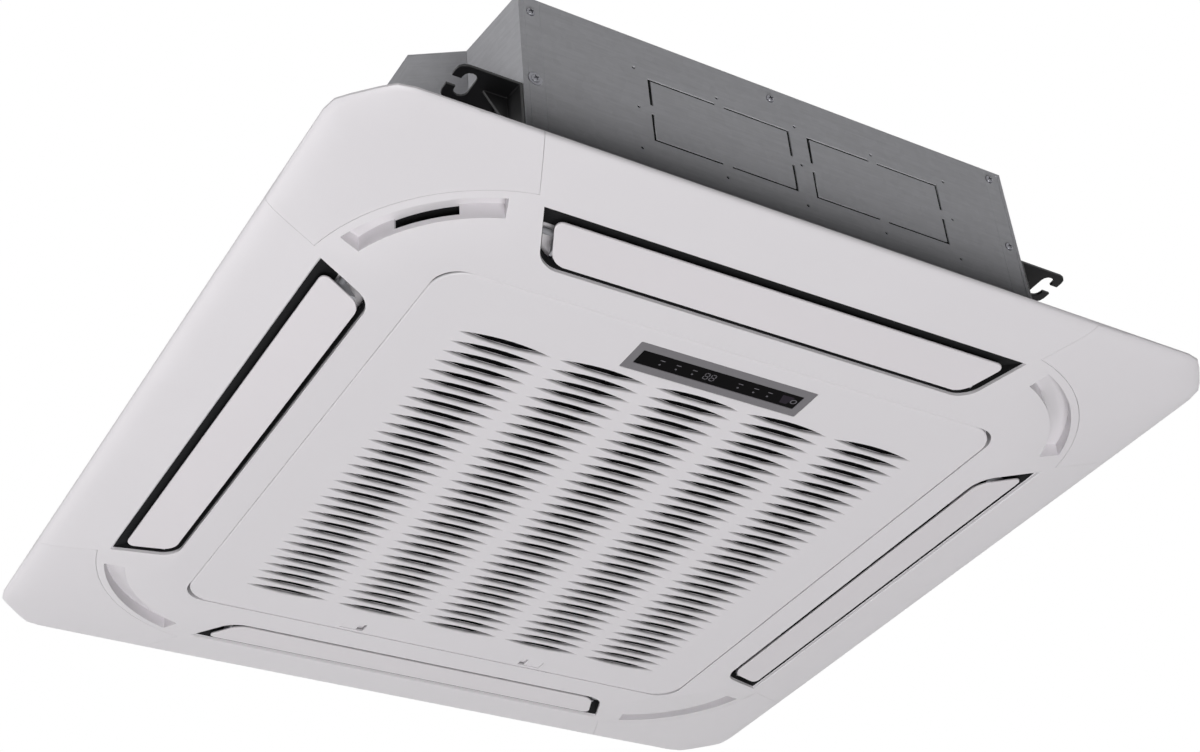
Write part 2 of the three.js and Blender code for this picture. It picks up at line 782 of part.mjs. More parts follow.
// Panel frame: flanks, outlets, arc slots, window wall and the trays under the covers, in one moulding
function panelFrame() {
  const shell = solid(panelForm(0)).subtract(solid(panelForm(skin)));
  const halfSkin = solid(panelForm(skin / 2));
  const windowHalf = grilleHalf + grilleGap;
  const windowHole = solid(prism(square(windowHalf, windowRadius), faceZ - overrun, ledgeTop - ledgeHeight));
  const ledgeHole = solid(prism(square(ledgeInner, grilleRadius), faceZ - overrun, overrun));
  const windowWall = solid(prism(square(windowHalf + wall, windowRadius + wall), faceZ, ledgeTop));
  const slotFrom = quarterTurn / 2 - slotHalfAngle;
  const slotTo = quarterTurn / 2 + slotHalfAngle;
  const lap = wall / slotOuter;
  const pocket = ringSector(arcCentre, arcCentre, slotInner - wall, slotOuter + wall, slotFrom - lap, slotTo + lap);
  const hollow = ringSector(arcCentre, arcCentre, slotInner, slotOuter, slotFrom, slotTo);
  const mouth = ringSector(arcCentre, arcCentre, slotInner - wall - overrun, slotInner + overrun,
    quarterTurn / 2 - mouthHalfAngle, quarterTurn / 2 + mouthHalfAngle, filletSteps);
  const pocketTop = -slotFloorGap;
  const pocketFloor = pocketTop - slotFloor;
  const trayTop = -trayTopGap;
  const trayLow = trayTop - trayRoof;
  const coverHole = aroundPanel(prism(coverOutline(0), faceZ - overrun, overrun));
  const trayWalls = aroundPanel(prism(coverOutline(-wall), faceZ, trayTop)).map((body) => body.intersect(halfSkin));
  const trayHollow = aroundPanel(prism(coverOutline(0), faceZ - overrun, trayLow));
  const roofForm = solid(panelForm(skin + trayMargin));
  const roofs = aroundPanel(prism(coverOutline(-wall / 2), trayLow, trayTop)).map((body) => body.intersect(roofForm));
  const trayRings = trayWalls.map((body, i) => body.subtract(coverHole[i]));
  const holeX = (arcCentre + fixingHoleReach * Math.cos(quarterTurn / 2));
  const fixing = rodUp(fixingHoleRadius, trayLow - overrun, overrun).translate(holeX, holeX, 0);
  const inside = joined([
    windowWall,
    ...aroundPanel(duct(wall, faceZ, -ductTopGap)),
    ...aroundPanel(prism(pocket, faceZ, pocketTop)),
  ]).intersect(halfSkin);
  const keeperY = grilleHalf + grilleGap;
  const keeperZ = faceZ + grillePlate;
  const keepers = [-1, 1].map((side) => {
    const reach = tongueWidth / 2 + latchTravel;
    return solid(block(side * latchX - reach, side * latchX + reach, keeperY - overrun, keeperY + keeperDepth,
      keeperZ, keeperZ + latchPlate + 2 * latchGuide));
  });
  const roofedEnds = joined(ductRoofs()).intersect(joined(aroundPanel(duct(wall, faceZ, -ductTopGap))));
  const moulding = cut(joined([shell, inside, ...bearing(bossRadius, outletHalfInner, bossEnd)]), [
    windowHole,
    ledgeHole,
    ...aroundPanel(duct(0, faceZ - overrun, overrun)),
    ...aroundPanel(prism(hollow, faceZ - overrun, pocketFloor)),
    ...aroundPanel(prism(mouth, faceZ + mouthSill, pocketFloor)),
    ...coverHole,
    ...bearing(pinRadius + bearingGap, vaneArmFace, bossEnd + overrun),
    ...keepers,
  ]);
  const trays = cut(joined([...trayRings, ...roofs]), [...aroundPanel(fixing), ...trayHollow]);
  const cradles = clawPlaces.map((x) => hingeArc(cradleInner, cradleOuter, cradleStart, cradleEnd, x));
  return joined([moulding, roofedEnds, trays, ...cradles]);
}

// Corner cover: the flank's skin between the seams, with a lip round its edge
function cornerCover() {
  const skinPart = solid(panelForm(0)).subtract(solid(panelForm(skin)));
  const area = solid(prism(coverOutline(coverGap), faceZ - overrun, overrun));
  const lipLow = faceZ - overrun;
  const lipTop = -trayTopGap - trayRoof - seatGap;
  const lipOuter = solid(prism(coverOutline(coverGap), lipLow, lipTop));
  const lipInner = solid(prism(coverOutline(coverGap + coverLip), lipLow - overrun, lipTop + overrun));
  const lip = lipOuter.subtract(lipInner).intersect(solid(panelForm(skin / 2)));
  return skinPart.intersect(area).add(lip);
}

// Lens-shaped slots, in columns and rows
function lensOutline(x, y) {
  const rise = lensHeight / 2;
  const half = lensLength / 2;
  const radius = (half ** 2 + rise ** 2) / (2 * rise);
  const spread = Math.asin(half / radius);
  const under = arc(x, y + radius - rise, radius, -quarterTurn - spread, -quarterTurn + spread, lensSteps);
  const over = arc(x, y - radius + rise, radius, quarterTurn - spread, quarterTurn + spread, lensSteps);
  return [...under.slice(0, -1), ...over.slice(0, -1)];
}

function lensSlots() {
  const low = faceZ - overrun;
  const high = faceZ + grillePlate + overrun;
  const slots = [];
  for (let column = 0; column < lensColumns; column += 1) {
    const x = (column - (lensColumns - 1) / 2) * lensColumnPitch;
    for (let row = 0; row < lensRows; row += 1) {
      slots.push(prism(lensOutline(x, lensFirstRow + row * lensRowPitch), low, high));
    }
  }
  return solid(mergeGeometries(slots));
}

const plateTop = faceZ + grillePlate;
const filterLow = plateTop + ribHeight + seatGap;
const filterTop = filterLow + filterFrameHeight;
const meshLow = filterTop + seatGap;
const meshTop = meshLow + filterMeshHeight;

// Intake grille: plate, slots, ribs, skirt, filter rails, latch guides and hinge claws
function intakeGrille() {
  const plate = solid(loft([
    level(square(grilleHalf - grilleChamfer, grilleRadius - grilleChamfer), faceZ),
    level(square(grilleHalf, grilleRadius), faceZ + grilleChamfer),
    level(square(grilleHalf, grilleRadius), plateTop),
  ]));
  const ribs = [];
  for (let gap = 1; gap < lensColumns; gap += 1) {
    const x = (gap - lensColumns / 2) * lensColumnPitch;
    ribs.push(solid(block(x - ribWidth / 2, x + ribWidth / 2, ribStart, ribEnd, faceZ + grilleChamfer,
      plateTop + ribHeight)));
  }
  const skirtTop = plateTop + skirtHeight;
  const skirtOuter = rectangle(-skirtHalf, skirtHalf, -skirtFront, skirtRear, skirtRadius);
  const skirtInner = insetOutline(skirtOuter, skirtWall);
  const skirt = solid(prism(skirtOuter, faceZ + grilleChamfer, skirtTop))
    .subtract(solid(prism(skirtInner, faceZ, skirtTop + overrun)));
  const railInner = filterHalf + seatGap;
  const lipLow = meshTop + seatGap;
  const rails = [-1, 1].flatMap((side) => {
    const web = [side * railInner, side * (railInner + railWall)].sort((a, b) => a - b);
    const lip = [side * (railInner - railLip), side * (railInner + railWall)].sort((a, b) => a - b);
    return [
      solid(block(...web, filterFront, filterRear, faceZ + grilleChamfer, lipLow)),
      solid(block(...lip, filterFront, filterRear, lipLow, lipLow + railWall / 2)),
    ];
  });
  const latchHalf = latchPlateDepth / 2 + seatGap;
  const guideTop = plateTop + seatGap + latchPlate + seatGap;
  const guides = [-1, 1].flatMap((side) => {
    const x0 = side * latchX - latchPlateLength / 2;
    const x1 = side * latchX + latchPlateLength / 2;
    const y = latchY - latchHalf;
    return [
      solid(block(x0, x1, y - latchGuide, y, faceZ + grilleChamfer, guideTop)),
      solid(block(x0, x1, y - latchGuide, y + latchGuideLip, guideTop, guideTop + latchGuide)),
    ];
  });
  const windows = [-1, 1].map((side) => solid(block(side * latchX - latchWindow / 2, side * latchX + latchWindow / 2,
    latchY - latchWindowDepth / 2, latchY + latchWindowDepth / 2, faceZ - overrun, plateTop + overrun)));
  const displayHole = solid(prism(displayOutline(0), faceZ - overrun, plateTop + overrun));
  const claws = clawPlaces.map((x) => hingeArc(clawInner, clawOuter, clawStart, clawEnd, x));
  const clawRelief = clawPlaces.map((x) => hingeArc(0, clawInner, 0, clawEnd, x));
  const body = joined([plate, ...ribs, skirt, ...rails, ...guides]);
  return cut(body, [lensSlots(), ...windows, displayHole]).subtract(joined(clawRelief).subtract(plate))
    .add(joined(claws));
}

function displayOutline(gap) {
  const halfLength = displayLength / 2 - gap;
  const halfDepth = displayDepth / 2 - gap;
  return rectangle(displayX - halfLength, displayX + halfLength, displayY - halfDepth, displayY + halfDepth,
    displayRadius);
}

function displayWindowOutline(gap) {
  const halfLength = windowLength / 2 - gap;
  const halfDepth = windowDepth / 2 - gap;
  const y = displayY + windowOffset;
  return rectangle(displayX - halfLength, displayX + halfLength, y - halfDepth, y + halfDepth, displayRadius);
}

function displayBezel() {
  const body = solid(prism(displayOutline(seatGap), faceZ, plateTop));
  return body.subtract(solid(prism(displayWindowOutline(0), faceZ - overrun, plateTop + overrun)));
}

function displayWindow() {
  const low = faceZ + windowSetback;
  return solid(prism(displayWindowOutline(seatGap), low, low + windowThick));
}

function displayBoard() {
  const low = plateTop + seatGap;
  return solid(block(displayX - boardLength / 2, displayX + boardLength / 2, displayY - boardDepth / 2,
    displayY + boardDepth / 2, low, low + boardHeight));
}

// Filter: a moulded border with cross ribs, and the net on it
function filterFrame() {
  const body = solid(prism(rectangle(-filterHalf, filterHalf, filterFront, filterRear), filterLow, filterTop));
  const bays = filterRibCount + 1;
  const openFront = filterFront + filterBorder;
  const openRear = filterRear - filterBorder;
  const bayX = (2 * filterOpeningHalf - filterRibCount * filterRib) / bays;
  const bayY = (openRear - openFront - filterRibCount * filterRib) / bays;
  const holes = [];
  for (let i = 0; i < bays; i += 1) {
    for (let j = 0; j < bays; j += 1) {
      const x = -filterOpeningHalf + i * (bayX + filterRib);
      const y = openFront + j * (bayY + filterRib);
      holes.push(block(x, x + bayX, y, y + bayY, filterLow - overrun, filterTop + overrun));
    }
  }
  return body.subtract(solid(mergeGeometries(holes)));
}

function filterMesh() {
  const inset = filterBorder / 2;
  return solid(block(-filterHalf + inset, filterHalf - inset, filterFront + inset, filterRear - inset, meshLow,
    meshTop));
}

// Latch: a finger tab in the grille's window, a carrier above it and a tongue towards the keeper
function latch(side) {
  const carrierLow = plateTop + seatGap;
  const carrierTop = carrierLow + latchPlate;
  const carrierFront = latchY - latchPlateDepth / 2;
  const carrierRear = latchY + latchPlateDepth / 2;
  const outer = latchX + latchWindow / 2 - seatGap;
  const tabY = latchWindowDepth / 2 - seatGap;
  const tab = block(outer - latchTab, outer, latchY - tabY, latchY + tabY, faceZ + latchRecess, carrierTop);
  const carrier = block(latchX - latchPlateLength / 2, latchX + latchPlateLength / 2, carrierFront, carrierRear,
    carrierLow, carrierTop);
  const tongue = block(latchX - tongueWidth / 2, latchX + tongueWidth / 2, carrierRear - overrun,
    grilleHalf + grilleGap - tongueGap, carrierLow, carrierTop);
  return joined([tab, carrier, tongue].map((geometry) => solid(geometry.scale(side, 1, 1))));
}

// Vane: a flush blade with an arm and a pin at each end
function vane() {
  const corners = points([
    [-vaneHalfOuter, -vaneOuter],
    [vaneHalfOuter, -vaneOuter],
    [vaneHalfInner, -vaneInner],
    [-vaneHalfInner, -vaneInner],
  ]);
  const radii = [vaneOuterRadius, vaneOuterRadius, vaneInnerRadius, vaneInnerRadius];
  const slope = new THREE.Matrix4().set(1, 0, 0, 0, 0, 1, 0, 0, 0, -flankSlope, 1, -flankSlope * outletInner,
    0, 0, 0, 1);
  const blade = solid(prism(rounded(corners, radii), faceZ, faceZ + vaneThick).applyMatrix4(slope));
  const pivotZ = faceZ + pivotRise;
  const footAt = (reach) => [-reach, faceZ + (reach - outletInner) * flankSlope + vaneThick / 2];
  const head = arc(-pivotReach, pivotZ, vaneArmHead, 0, 2 * quarterTurn, filletSteps * 2);
  const foot = points([footAt(pivotReach + vaneArmFoot), footAt(pivotReach - vaneArmFoot)]);
  const armOutline = [...head, ...foot];
  const ends = [-1, 1].flatMap((side) => {
    const arm = prismAlongX(armOutline, vaneArmFace - vaneArm, vaneArmFace).scale(side, 1, 1);
    const pin = rodAlongX(pinRadius, vaneArmFace - vaneArm / 2, pinEnd).translate(0, -pivotReach, pivotZ);
    return [solid(arm), solid(pin.scale(side, 1, 1))];
  });
  return joined([blade, ...ends]);
}

function stepperMotor() {
  const start = bossEnd + seatGap;
  const can = solid(rodAlongX(stepperRadius, start, start + stepperLength, roundSides));
  const ear = solid(block(start, start + stepperEar, -stepperRadius - stepperEar, stepperRadius + stepperEar,
    -stepperEar, stepperEar));
  return can.add(ear).translate([0, -pivotReach, faceZ + pivotRise]);
}

// Casing outline, anticlockwise from the front edge's right end
const casingOutline = points([
  [frontHalf, -casingDepth], [notchX, -notchY], [cheekX, -cheekTop], [cheekX, -cheekEnd],
  [sideX, -sideHalf], [sideX, sideHalf], [cheekX, cheekEnd], [cheekX, cheekTop],
  [notchX, notchY], [frontHalf, casingDepth], [-frontHalf, casingDepth], [-notchX, notchY],
  [-cheekX, cheekTop], [-cheekX, cheekEnd], [-sideX, sideHalf], [-sideX, -sideHalf],
  [-cheekX, -cheekEnd], [-cheekX, -cheekTop], [-notchX, -notchY], [-frontHalf, -casingDepth],
]);

const wallTop = casingTop - sheet - seatGap;

function casingRing() {
  const outer = solid(prism(casingOutline, wallBottom, wallTop));
  return outer.subtract(solid(prism(insetOutline(casingOutline, sheet), wallBottom - overrun, wallTop + overrun)));
}

function knockouts() {
  return knockoutX.flatMap((x) => [-1, 1].flatMap((sideAlong) => [-1, 1].map((sideZ) => {
    const halfX = knockoutLength / 2;
    const halfZ = knockoutHeight / 2;
    const corner = points([
      [knockoutBridge / 2, halfZ - knockoutSlit], [halfX - knockoutSlit, halfZ - knockoutSlit],
      [halfX - knockoutSlit, knockoutBridge / 2], [halfX, knockoutBridge / 2],
      [halfX, halfZ], [knockoutBridge / 2, halfZ],
    ]);
    const slit = prismAlongY(corner, -casingDepth - overrun, -casingDepth + overrun);
    return solid(slit.scale(sideAlong, 1, sideZ).translate(x, 0, knockoutZ));
  })));
}

function frontWall() {
  const far = sideX + overrun;
  const slice = solid(block(-far, far, -casingDepth - overrun, -notchY - seatGap / 2, -overrun, casingTop));
  return cut(casingRing().intersect(slice), knockouts());
}

function rearWall() {
  const far = sideX + overrun;
  const slice = solid(block(-far, far, notchY + seatGap / 2, casingDepth + overrun, -overrun, casingTop));
  const port = rectangle(portX - portHalfX, portX + portHalfX, portZ - portHalfZ, portZ + portHalfZ);
  return cut(casingRing().intersect(slice), [
    solid(prismAlongY(port, casingDepth - overrun, casingDepth + overrun)),
    ...rearHoles(casingDepth - overrun, casingDepth + overrun),
  ]);
}

function rearHoles(low, high) {
  const drain = rodAlongY(drainRadius + seatGap * 2, low, high).translate(sumpX, 0, drainZ);
  const cable = rodAlongY(grommetRadius, low, high).translate(grommetX, 0, grommetZ);
  return [solid(drain), solid(cable)];
}

function sideWall(side) {
  const x = [0, side * (sideX + overrun)].sort((a, b) => a - b);
  const slice = block(...x, -notchY + seatGap / 2, notchY - seatGap / 2, -overrun, casingTop);
  return casingRing().intersect(solid(slice));
}

function topPlate() {
  const plate = solid(prism(casingOutline, casingTop - sheet, casingTop));
  const half = beadLength / 2;
  const beads = [-1, 1].map((side) => {
    const y = side * beadSpacing;
    return solid(prism(rectangle(-half, half, y - beadWidth / 2, y + beadWidth / 2, beadWidth / 2 - sheet),
      casingTop - sheet / 2, casingTop + beadDepth));
  });
  return joined([plate, ...beads]);
}

// Foam liner: an upturned tub inside the casing, from the drain pan to the top plate
const linerOutline = insetOutline(casingOutline, sheet + linerGap);

function foamLiner() {
  const low = panTop + seatGap;
  const cavityTop = wallTop - linerTop;
  const hole = rodUp(bracketRadius + bracketHoleGap, cavityTop - overrun, casingTop);
  const port = rectangle(portX - portHalfX, portX + portHalfX, portZ - portHalfZ, portZ + portHalfZ);
  const lining = casingDepth - sheet - linerGap - linerWall;
  return cut(solid(prism(linerOutline, low, wallTop)), [
    solid(prism(insetOutline(linerOutline, linerWall), low - overrun, cavityTop)),
    solid(hole),
    solid(prismAlongY(port, lining - overrun, casingDepth)),
    ...rearHoles(lining - overrun, casingDepth),
  ]);
}

// Drain pan: a block with the intake hole, four air outlets, the gutter under the coil and the pump's sump
function stadiumAlongY(x, y0, y1, radius) {
  const half = filletSteps * 2;
  const near = arc(x, y0, radius, 2 * quarterTurn, 4 * quarterTurn, half);
  return [...near, ...arc(x, y1, radius, 0, 2 * quarterTurn, half)];
}

function drainPan() {
  const through = [panBottom - overrun, panTop + overrun];
  const outletsY = [-1, 1].map((side) => {
    const y = [side * panOutletInner, side * panOutletFront].sort((a, b) => a - b);
    return solid(prism(rectangle(-panOutletHalf, panOutletHalf, ...y, panOutletRadius), ...through));
  });
  const outletsX = [-1, 1].map((side) => {
    const x = [side * panOutletInner, side * panOutletSide].sort((a, b) => a - b);
    return solid(prism(rectangle(...x, -panOutletSideHalf, panOutletSideHalf, panOutletRadius), ...through));
  });
  const gutter = solid(prism(square(gutterOuter, gutterOuterRadius), gutterFloor, panTop + overrun))
    .subtract(solid(prism(square(gutterInner, gutterInnerRadius), gutterFloor - overrun, panTop + 2 * overrun)));
  const sump = solid(prism(stadiumAlongY(sumpX, sumpFront, sumpRear, sumpRadius), sumpFloor, panTop + overrun));
  const spill = solid(block(sumpX - sumpRadius / 2, sumpX + sumpRadius / 2, gutterOuter - overrun, sumpFront,
    gutterFloor, panTop + overrun));
  return cut(solid(prism(linerOutline, panBottom, panTop)), [
    solid(prism(square(panHoleHalf, panHoleRadius), ...through)),
    ...outletsY,
    ...outletsX,
    gutter,
    sump,
    spill,
  ]);
}

function panelGasket() {
  const low = ledgeTop + seatGap;
  const high = panBottom - seatGap;
  const outer = solid(prism(square(gasketOuter, grilleRadius), low, high));
  return outer.subtract(solid(prism(square(gasketInner, grilleRadius), low - overrun, high + overrun)));
}

// Coil slab with tube plates at its two ends, and the baffle that closes the pipe corner
const coilLow = gutterFloor + seatGap;

function coil() {
  const slab = solid(prism(square(coilOuter, coilOuterRadius), coilLow, coilTop));
  const core = solid(prism(square(coilInner, coilInnerRadius), coilLow - overrun, coilTop + overrun));
  const far = coilOuter + overrun;
  const corner = solid(block(coilEnd, far, coilEnd, far, coilLow - overrun, coilTop + overrun));
  return cut(slab, [core, corner]);
}

function tubePlate(turn) {
  const low = coilEnd + seatGap;
  const high = low + endPlate;
  const plate = solid(block(low, high, coilInner - endPlateMargin, coilOuter + endPlateMargin, coilLow, coilTop));
  const pitch = (coilTop - coilLow) / bendRows;
  const middle = (coilInner + coilOuter) / 2;
  const bends = Array.from({ length: bendRows }, (_, row) => {
    const bend = arc(high + bendStraight, middle, bendRadius, -quarterTurn, quarterTurn, bendSteps);
    const ends = points([[low, middle - bendRadius], [low, middle + bendRadius]]);
    const route = level([ends[0], ...bend, ends[1]], coilLow + (row + 0.5) * pitch);
    return solid(tube(route, bendTube, new THREE.Vector3(0, 0, 1), bendSides));
  });
  const body = joined([plate, ...bends]);
  if (!turn) return body;
  return body.mirror([1, -1, 0]);
}

function coilBaffle() {
  const start = coilEnd + seatGap + endPlate + seatGap;
  const near = coilInner - endPlateMargin;
  const curve = new THREE.QuadraticBezierCurve(new THREE.Vector2(start, near),
    new THREE.Vector2(near - baffleBow, near - baffleBow), new THREE.Vector2(near, start));
  const outer = curve.getPoints(arcSteps);
  const inner = outer.map((p, i) => p.clone().addScaledVector(new THREE.Vector2(-1, -1).normalize(), baffle)).reverse();
  return solid(prism([...outer, ...inner], panTop + seatGap, coilTop));
}

// Fan: back plate with a dome over the motor, curved blades and the eye ring
function fanBackProfile(offset) {
  return [
    [hubRadius, hubZ + offset],
    [domeRadius * hubFaceShare, hubZ + offset],
    [domeRadius, domeZ + offset],
    [domeFootRadius - fanSkin, (domeZ + fanBackZ) / 2 + offset],
    [domeFootRadius + fanSkin * 4, fanBackZ + offset - fanSkin],
    [fanRadius, fanBackZ + offset],
  ];
}

function fanShroudProfile(offset) {
  const span = fanRadius - fanEye;
  const rise = fanShroudZ - fanEyeZ;
  return Array.from({ length: bellSteps + 1 }, (_, i) => {
    const angle = (i / bellSteps) * quarterTurn;
    return [fanEye + offset + (span - offset) * (1 - Math.cos(angle)), fanEyeZ + rise * Math.sin(angle)];
  });
}

function fanBlade() {
  const mean = Array.from({ length: bladeSteps + 1 }, (_, i) => {
    const share = i / bladeSteps;
    const radius = bladeInner + (fanRadius - fanSkin - bladeInner) * share;
    const angle = -bladeSweep * share ** bladeCurve;
    return new THREE.Vector2(radius * Math.cos(angle), radius * Math.sin(angle));
  });
  const sideOf = (sign) => mean.map((p, i) => {
    const before = mean[Math.max(i - 1, 0)];
    const after = mean[Math.min(i + 1, bladeSteps)];
    const along = after.clone().sub(before).normalize();
    const share = Math.sin(Math.PI * Math.min(i / bladeSteps + bladeNoseShare, 1));
    const half = (bladeTip + (bladeThick - bladeTip) * share) / 2;
    return p.clone().add(new THREE.Vector2(-along.y, along.x).multiplyScalar(sign * half));
  });
  return prism([...sideOf(-1), ...sideOf(1).reverse()], fanEyeZ, fanBackZ);
}

function fan() {
  const back = fanBackProfile(0);
  const backPlate = solid(turned([...back, ...fanBackProfile(fanSkin).reverse(), back[0]], fanSides));
  const ring = fanShroudProfile(0);
  const eye = solid(turned([...ring, ...fanShroudProfile(fanSkin).reverse(), ring[0]], fanSides));
  const passage = [
    ...fanShroudProfile(fanSkin / 2).slice(1),
    [fanRadius - fanSkin, fanBackZ + fanSkin / 2],
    [domeFootRadius + fanSkin * 8, fanBackZ + fanSkin / 2],
    [bladeInner + fanSkin, (fanEyeZ + fanBackZ) / 2],
    [bladeEyeInner, bellTop + bladeClearance],
  ];
  const room = solid(turned([...passage, passage[0]], fanSides));
  const blades = Array.from({ length: bladeCount }, (_, i) => {
    return solid(fanBlade().rotateZ((i * 4 * quarterTurn) / bladeCount)).intersect(room);
  });
  const boss = solid(rodUp(hubRadius + fanSkin, hubZ - hubHeight / 2, hubZ + hubHeight / 2));
  const bore = solid(rodUp(shaftRadius + seatGap, hubZ - hubHeight, hubZ + hubHeight));
  return joined([backPlate, boss, eye, ...blades]).subtract(bore);
}

function fanNut() {
  const low = hubZ - hubHeight / 2 - seatGap - nutHeight;
  const nut = solid(rodUp(nutRadius, low, low + nutHeight, 6));
  return nut.subtract(solid(rodUp(shaftRadius + seatGap, low - overrun, low + nutHeight + overrun)));
}

function fanMotor() {
  const bottom = motorBottom + motorRound;
  const can = [
    [0, motorBottom], [motorRadius - motorRound, motorBottom], [motorRadius, bottom],
    [motorRadius, motorTop - motorFlangeHeight], [motorFlange, motorTop - motorFlangeHeight],
    [motorFlange, motorTop], [0, motorTop],
  ];
  const shaft = solid(rodUp(shaftRadius, shaftEnd, motorBottom + motorRound, pinSides));
  return solid(turned(can)).add(shaft);
}

function motorBracket() {
  const low = motorTop + seatGap;
  return solid(turned([
    [0, low], [bracketRadius - sheet * 4, low], [bracketRadius, wallTop], [bracketRadius - sheet, wallTop],
    [bracketRadius - sheet * 5, low + sheet], [0, low + sheet],
  ]));
}

// Bell mouth: a plate across the pan's hole with a flared throat into the fan's eye
function bellMouthPlate() {
  const flare = (offset) => Array.from({ length: bellSteps + 1 }, (_, i) => {
    const angle = (i / bellSteps) * quarterTurn;
    const span = bellMouth - bellThroat;
    const rise = bellTop - bellPlateZ;
    return [bellMouth - (span + offset) * Math.sin(angle), bellTop - (rise - offset) * Math.cos(angle)];
  });
  const outer = flare(0);
  const inner = outer.map(([radius, z]) => {
    const left = 1 - (z - bellPlateZ) / (bellTop - bellPlateZ);
    return [radius + bellPlate, z + bellPlate * left];
  });
  const throat = solid(turned([...outer, ...inner.reverse(), outer[0]], fanSides));
  const half = panHoleHalf - coverGap;
  const plate = solid(prism(square(half, bellCorner), bellPlateZ, bellPlateZ + bellPlate));
  return plate.subtract(solid(rodUp(bellMouth, bellPlateZ - overrun, bellPlateZ + overrun, fanSides))).add(throat);
}

// Electrical box under the bell mouth's plate, with its board and lid
const boxTop = bellPlateZ - seatGap;

function electricalBox() {
  const box = solid(block(-boxHalf, boxHalf, -boxFront, -boxRear, boxBottom, boxTop));
  return box.subtract(solid(block(-boxHalf + boxWall, boxHalf - boxWall, -boxFront + boxWall, -boxRear - boxWall,
    boxBottom - overrun, boxTop - boxWall)));
}

function electricalLid() {
  const top = boxBottom - seatGap;
  return solid(block(-boxHalf - boxWall, boxHalf + boxWall, -boxFront - boxWall, -boxRear + boxWall, top - boxWall,
    top));
}

function controlBoard() {
  const front = -boxFront + boxWall + seatGap;
  const rear = -boxRear - boxWall - seatGap;
  const half = boxHalf - boxWall - seatGap;
  const low = boxBottom + boardRise;
  const board = solid(block(-half, half, front, rear, low, low + boardThick));
  const pitch = (2 * half) / relayCount;
  const relays = Array.from({ length: relayCount }, (_, i) => {
    const x = -half + (i + 0.5) * pitch;
    return solid(block(x - relayWidth / 2, x + relayWidth / 2, front + boardMargin, rear - boardMargin,
      low - relayHeight, low + boardThick / 2));
  });
  return joined([board, ...relays]);
}

function roomSensor() {
  const z = bellPlateZ - seatGap - sensorClip;
  const bulb = solid(rodAlongX(sensorRadius, sensorX - sensorLength / 2, sensorX + sensorLength / 2)
    .translate(0, -sensorY, z));
  const clip = solid(block(sensorX - sensorClip, sensorX + sensorClip, -sensorY - sensorClip, -sensorY + sensorClip,
    z - sensorClip / 2, bellPlateZ - seatGap));
  return bulb.add(clip);
}

// Drain pump on a lid over the sump, with the float's stem beside it
const sumpLidLow = panTop + seatGap;

function drainPump() {
  const outline = stadiumAlongY(sumpX, sumpFront, sumpRear, sumpRadius - linerWall / 2);
  const lid = solid(prism(outline, sumpLidLow, sumpLidLow + sumpLid));
  const low = sumpLidLow + sumpLid / 2;
  const top = low + pumpHeight;
  const upright = (geometry, y) => solid(geometry.translate(sumpX, y, 0));
  return joined([
    lid,
    upright(rodUp(pumpCage, sumpFloor + floatRise, low), sumpFront),
    upright(rodUp(pumpRadius, low, top), sumpFront),
    upright(rodUp(pumpCap, top - sumpLid, top + pumpCapHeight), sumpFront),
    upright(rodUp(stemRadius, sumpFloor + seatGap, low, pinSides), sumpRear),
  ]);
}

function floatSwitch() {
  const low = sumpFloor + floatRise;
  const body = rodUp(floatRadius, low, low + floatHeight).translate(sumpX, sumpRear, 0);
  const bore = rodUp(stemRadius + bearingGap, low - overrun, low + floatHeight + overrun, pinSides);
  return solid(body).subtract(solid(bore.translate(sumpX, sumpRear, 0)));
}

function elbow(x, y, low, height, bend, reach, radius) {
  const turn = arc(y + bend, height - bend, bend, 2 * quarterTurn, quarterTurn, bendSteps);
  const route = [...points([[y, low]]), ...turn, ...points([[reach, height]])];
  return tube(route.map((p) => new THREE.Vector3(x, p.x, p.y)), radius, new THREE.Vector3(1, 0, 0));
}

function drainPipe() {
  const low = sumpLidLow + sumpLid / 2 + pumpHeight + pumpCapHeight + seatGap;
  return solid(elbow(sumpX, sumpFront, low, drainZ, drainBend, drainReach, drainRadius));
}

function refrigerantPipe(x, z, radius) {
  return solid(elbow(x, pipeStartY, pipeFoot, z, pipeBend, pipeReach, radius));
}

function flareNut(x, z, radius) {
  const low = pipeReach - nutLength + seatGap * 2;
  const nut = rodAlongY(radius * nutShare, low, low + nutLength, 6).translate(x, 0, z);
  const bore = rodAlongY(radius + seatGap, low - overrun, low + nutLength + overrun).translate(x, 0, z);
  return solid(nut).subtract(solid(bore));
}

function pipeCover() {
  const low = casingDepth + seatGap;
  const outline = rectangle(portX - portHalfX - portLap, portX + portHalfX + portLap, portZ - portHalfZ - portLap,
    portZ + portHalfZ + portLap, portLap / 2);
  const holes = [[gasX, gasZ, gasRadius], [liquidX, liquidZ, liquidRadius]].map(([x, z, radius]) => {
    return solid(rodAlongY(radius + seatGap * 2, low - overrun, low + overrun).translate(x, 0, z));
  });
  return cut(solid(prismAlongY(outline, low, low + sheet)), holes);
}

function cableGrommet() {
  const low = casingDepth - sheet - seatGap;
  const place = (geometry) => solid(geometry.translate(grommetX, 0, grommetZ));
  const sleeve = place(rodAlongY(grommetRadius - seatGap, low, casingDepth + grommetFlange));
  const flange = place(rodAlongY(grommetRadius + grommetFlange, casingDepth + seatGap, casingDepth + grommetFlange));
  const bore = place(rodAlongY(grommetBore, low - overrun, casingDepth + grommetFlange + overrun));
  return joined([sleeve, flange]).subtract(bore);
}

// Hanging hook: a flange on the notch wall, a slotted plate and a gusset
function notchWallX(y) {
  return -frontHalf - ((casingDepth + y) * (notchX - frontHalf)) / (casingDepth - notchY);
}

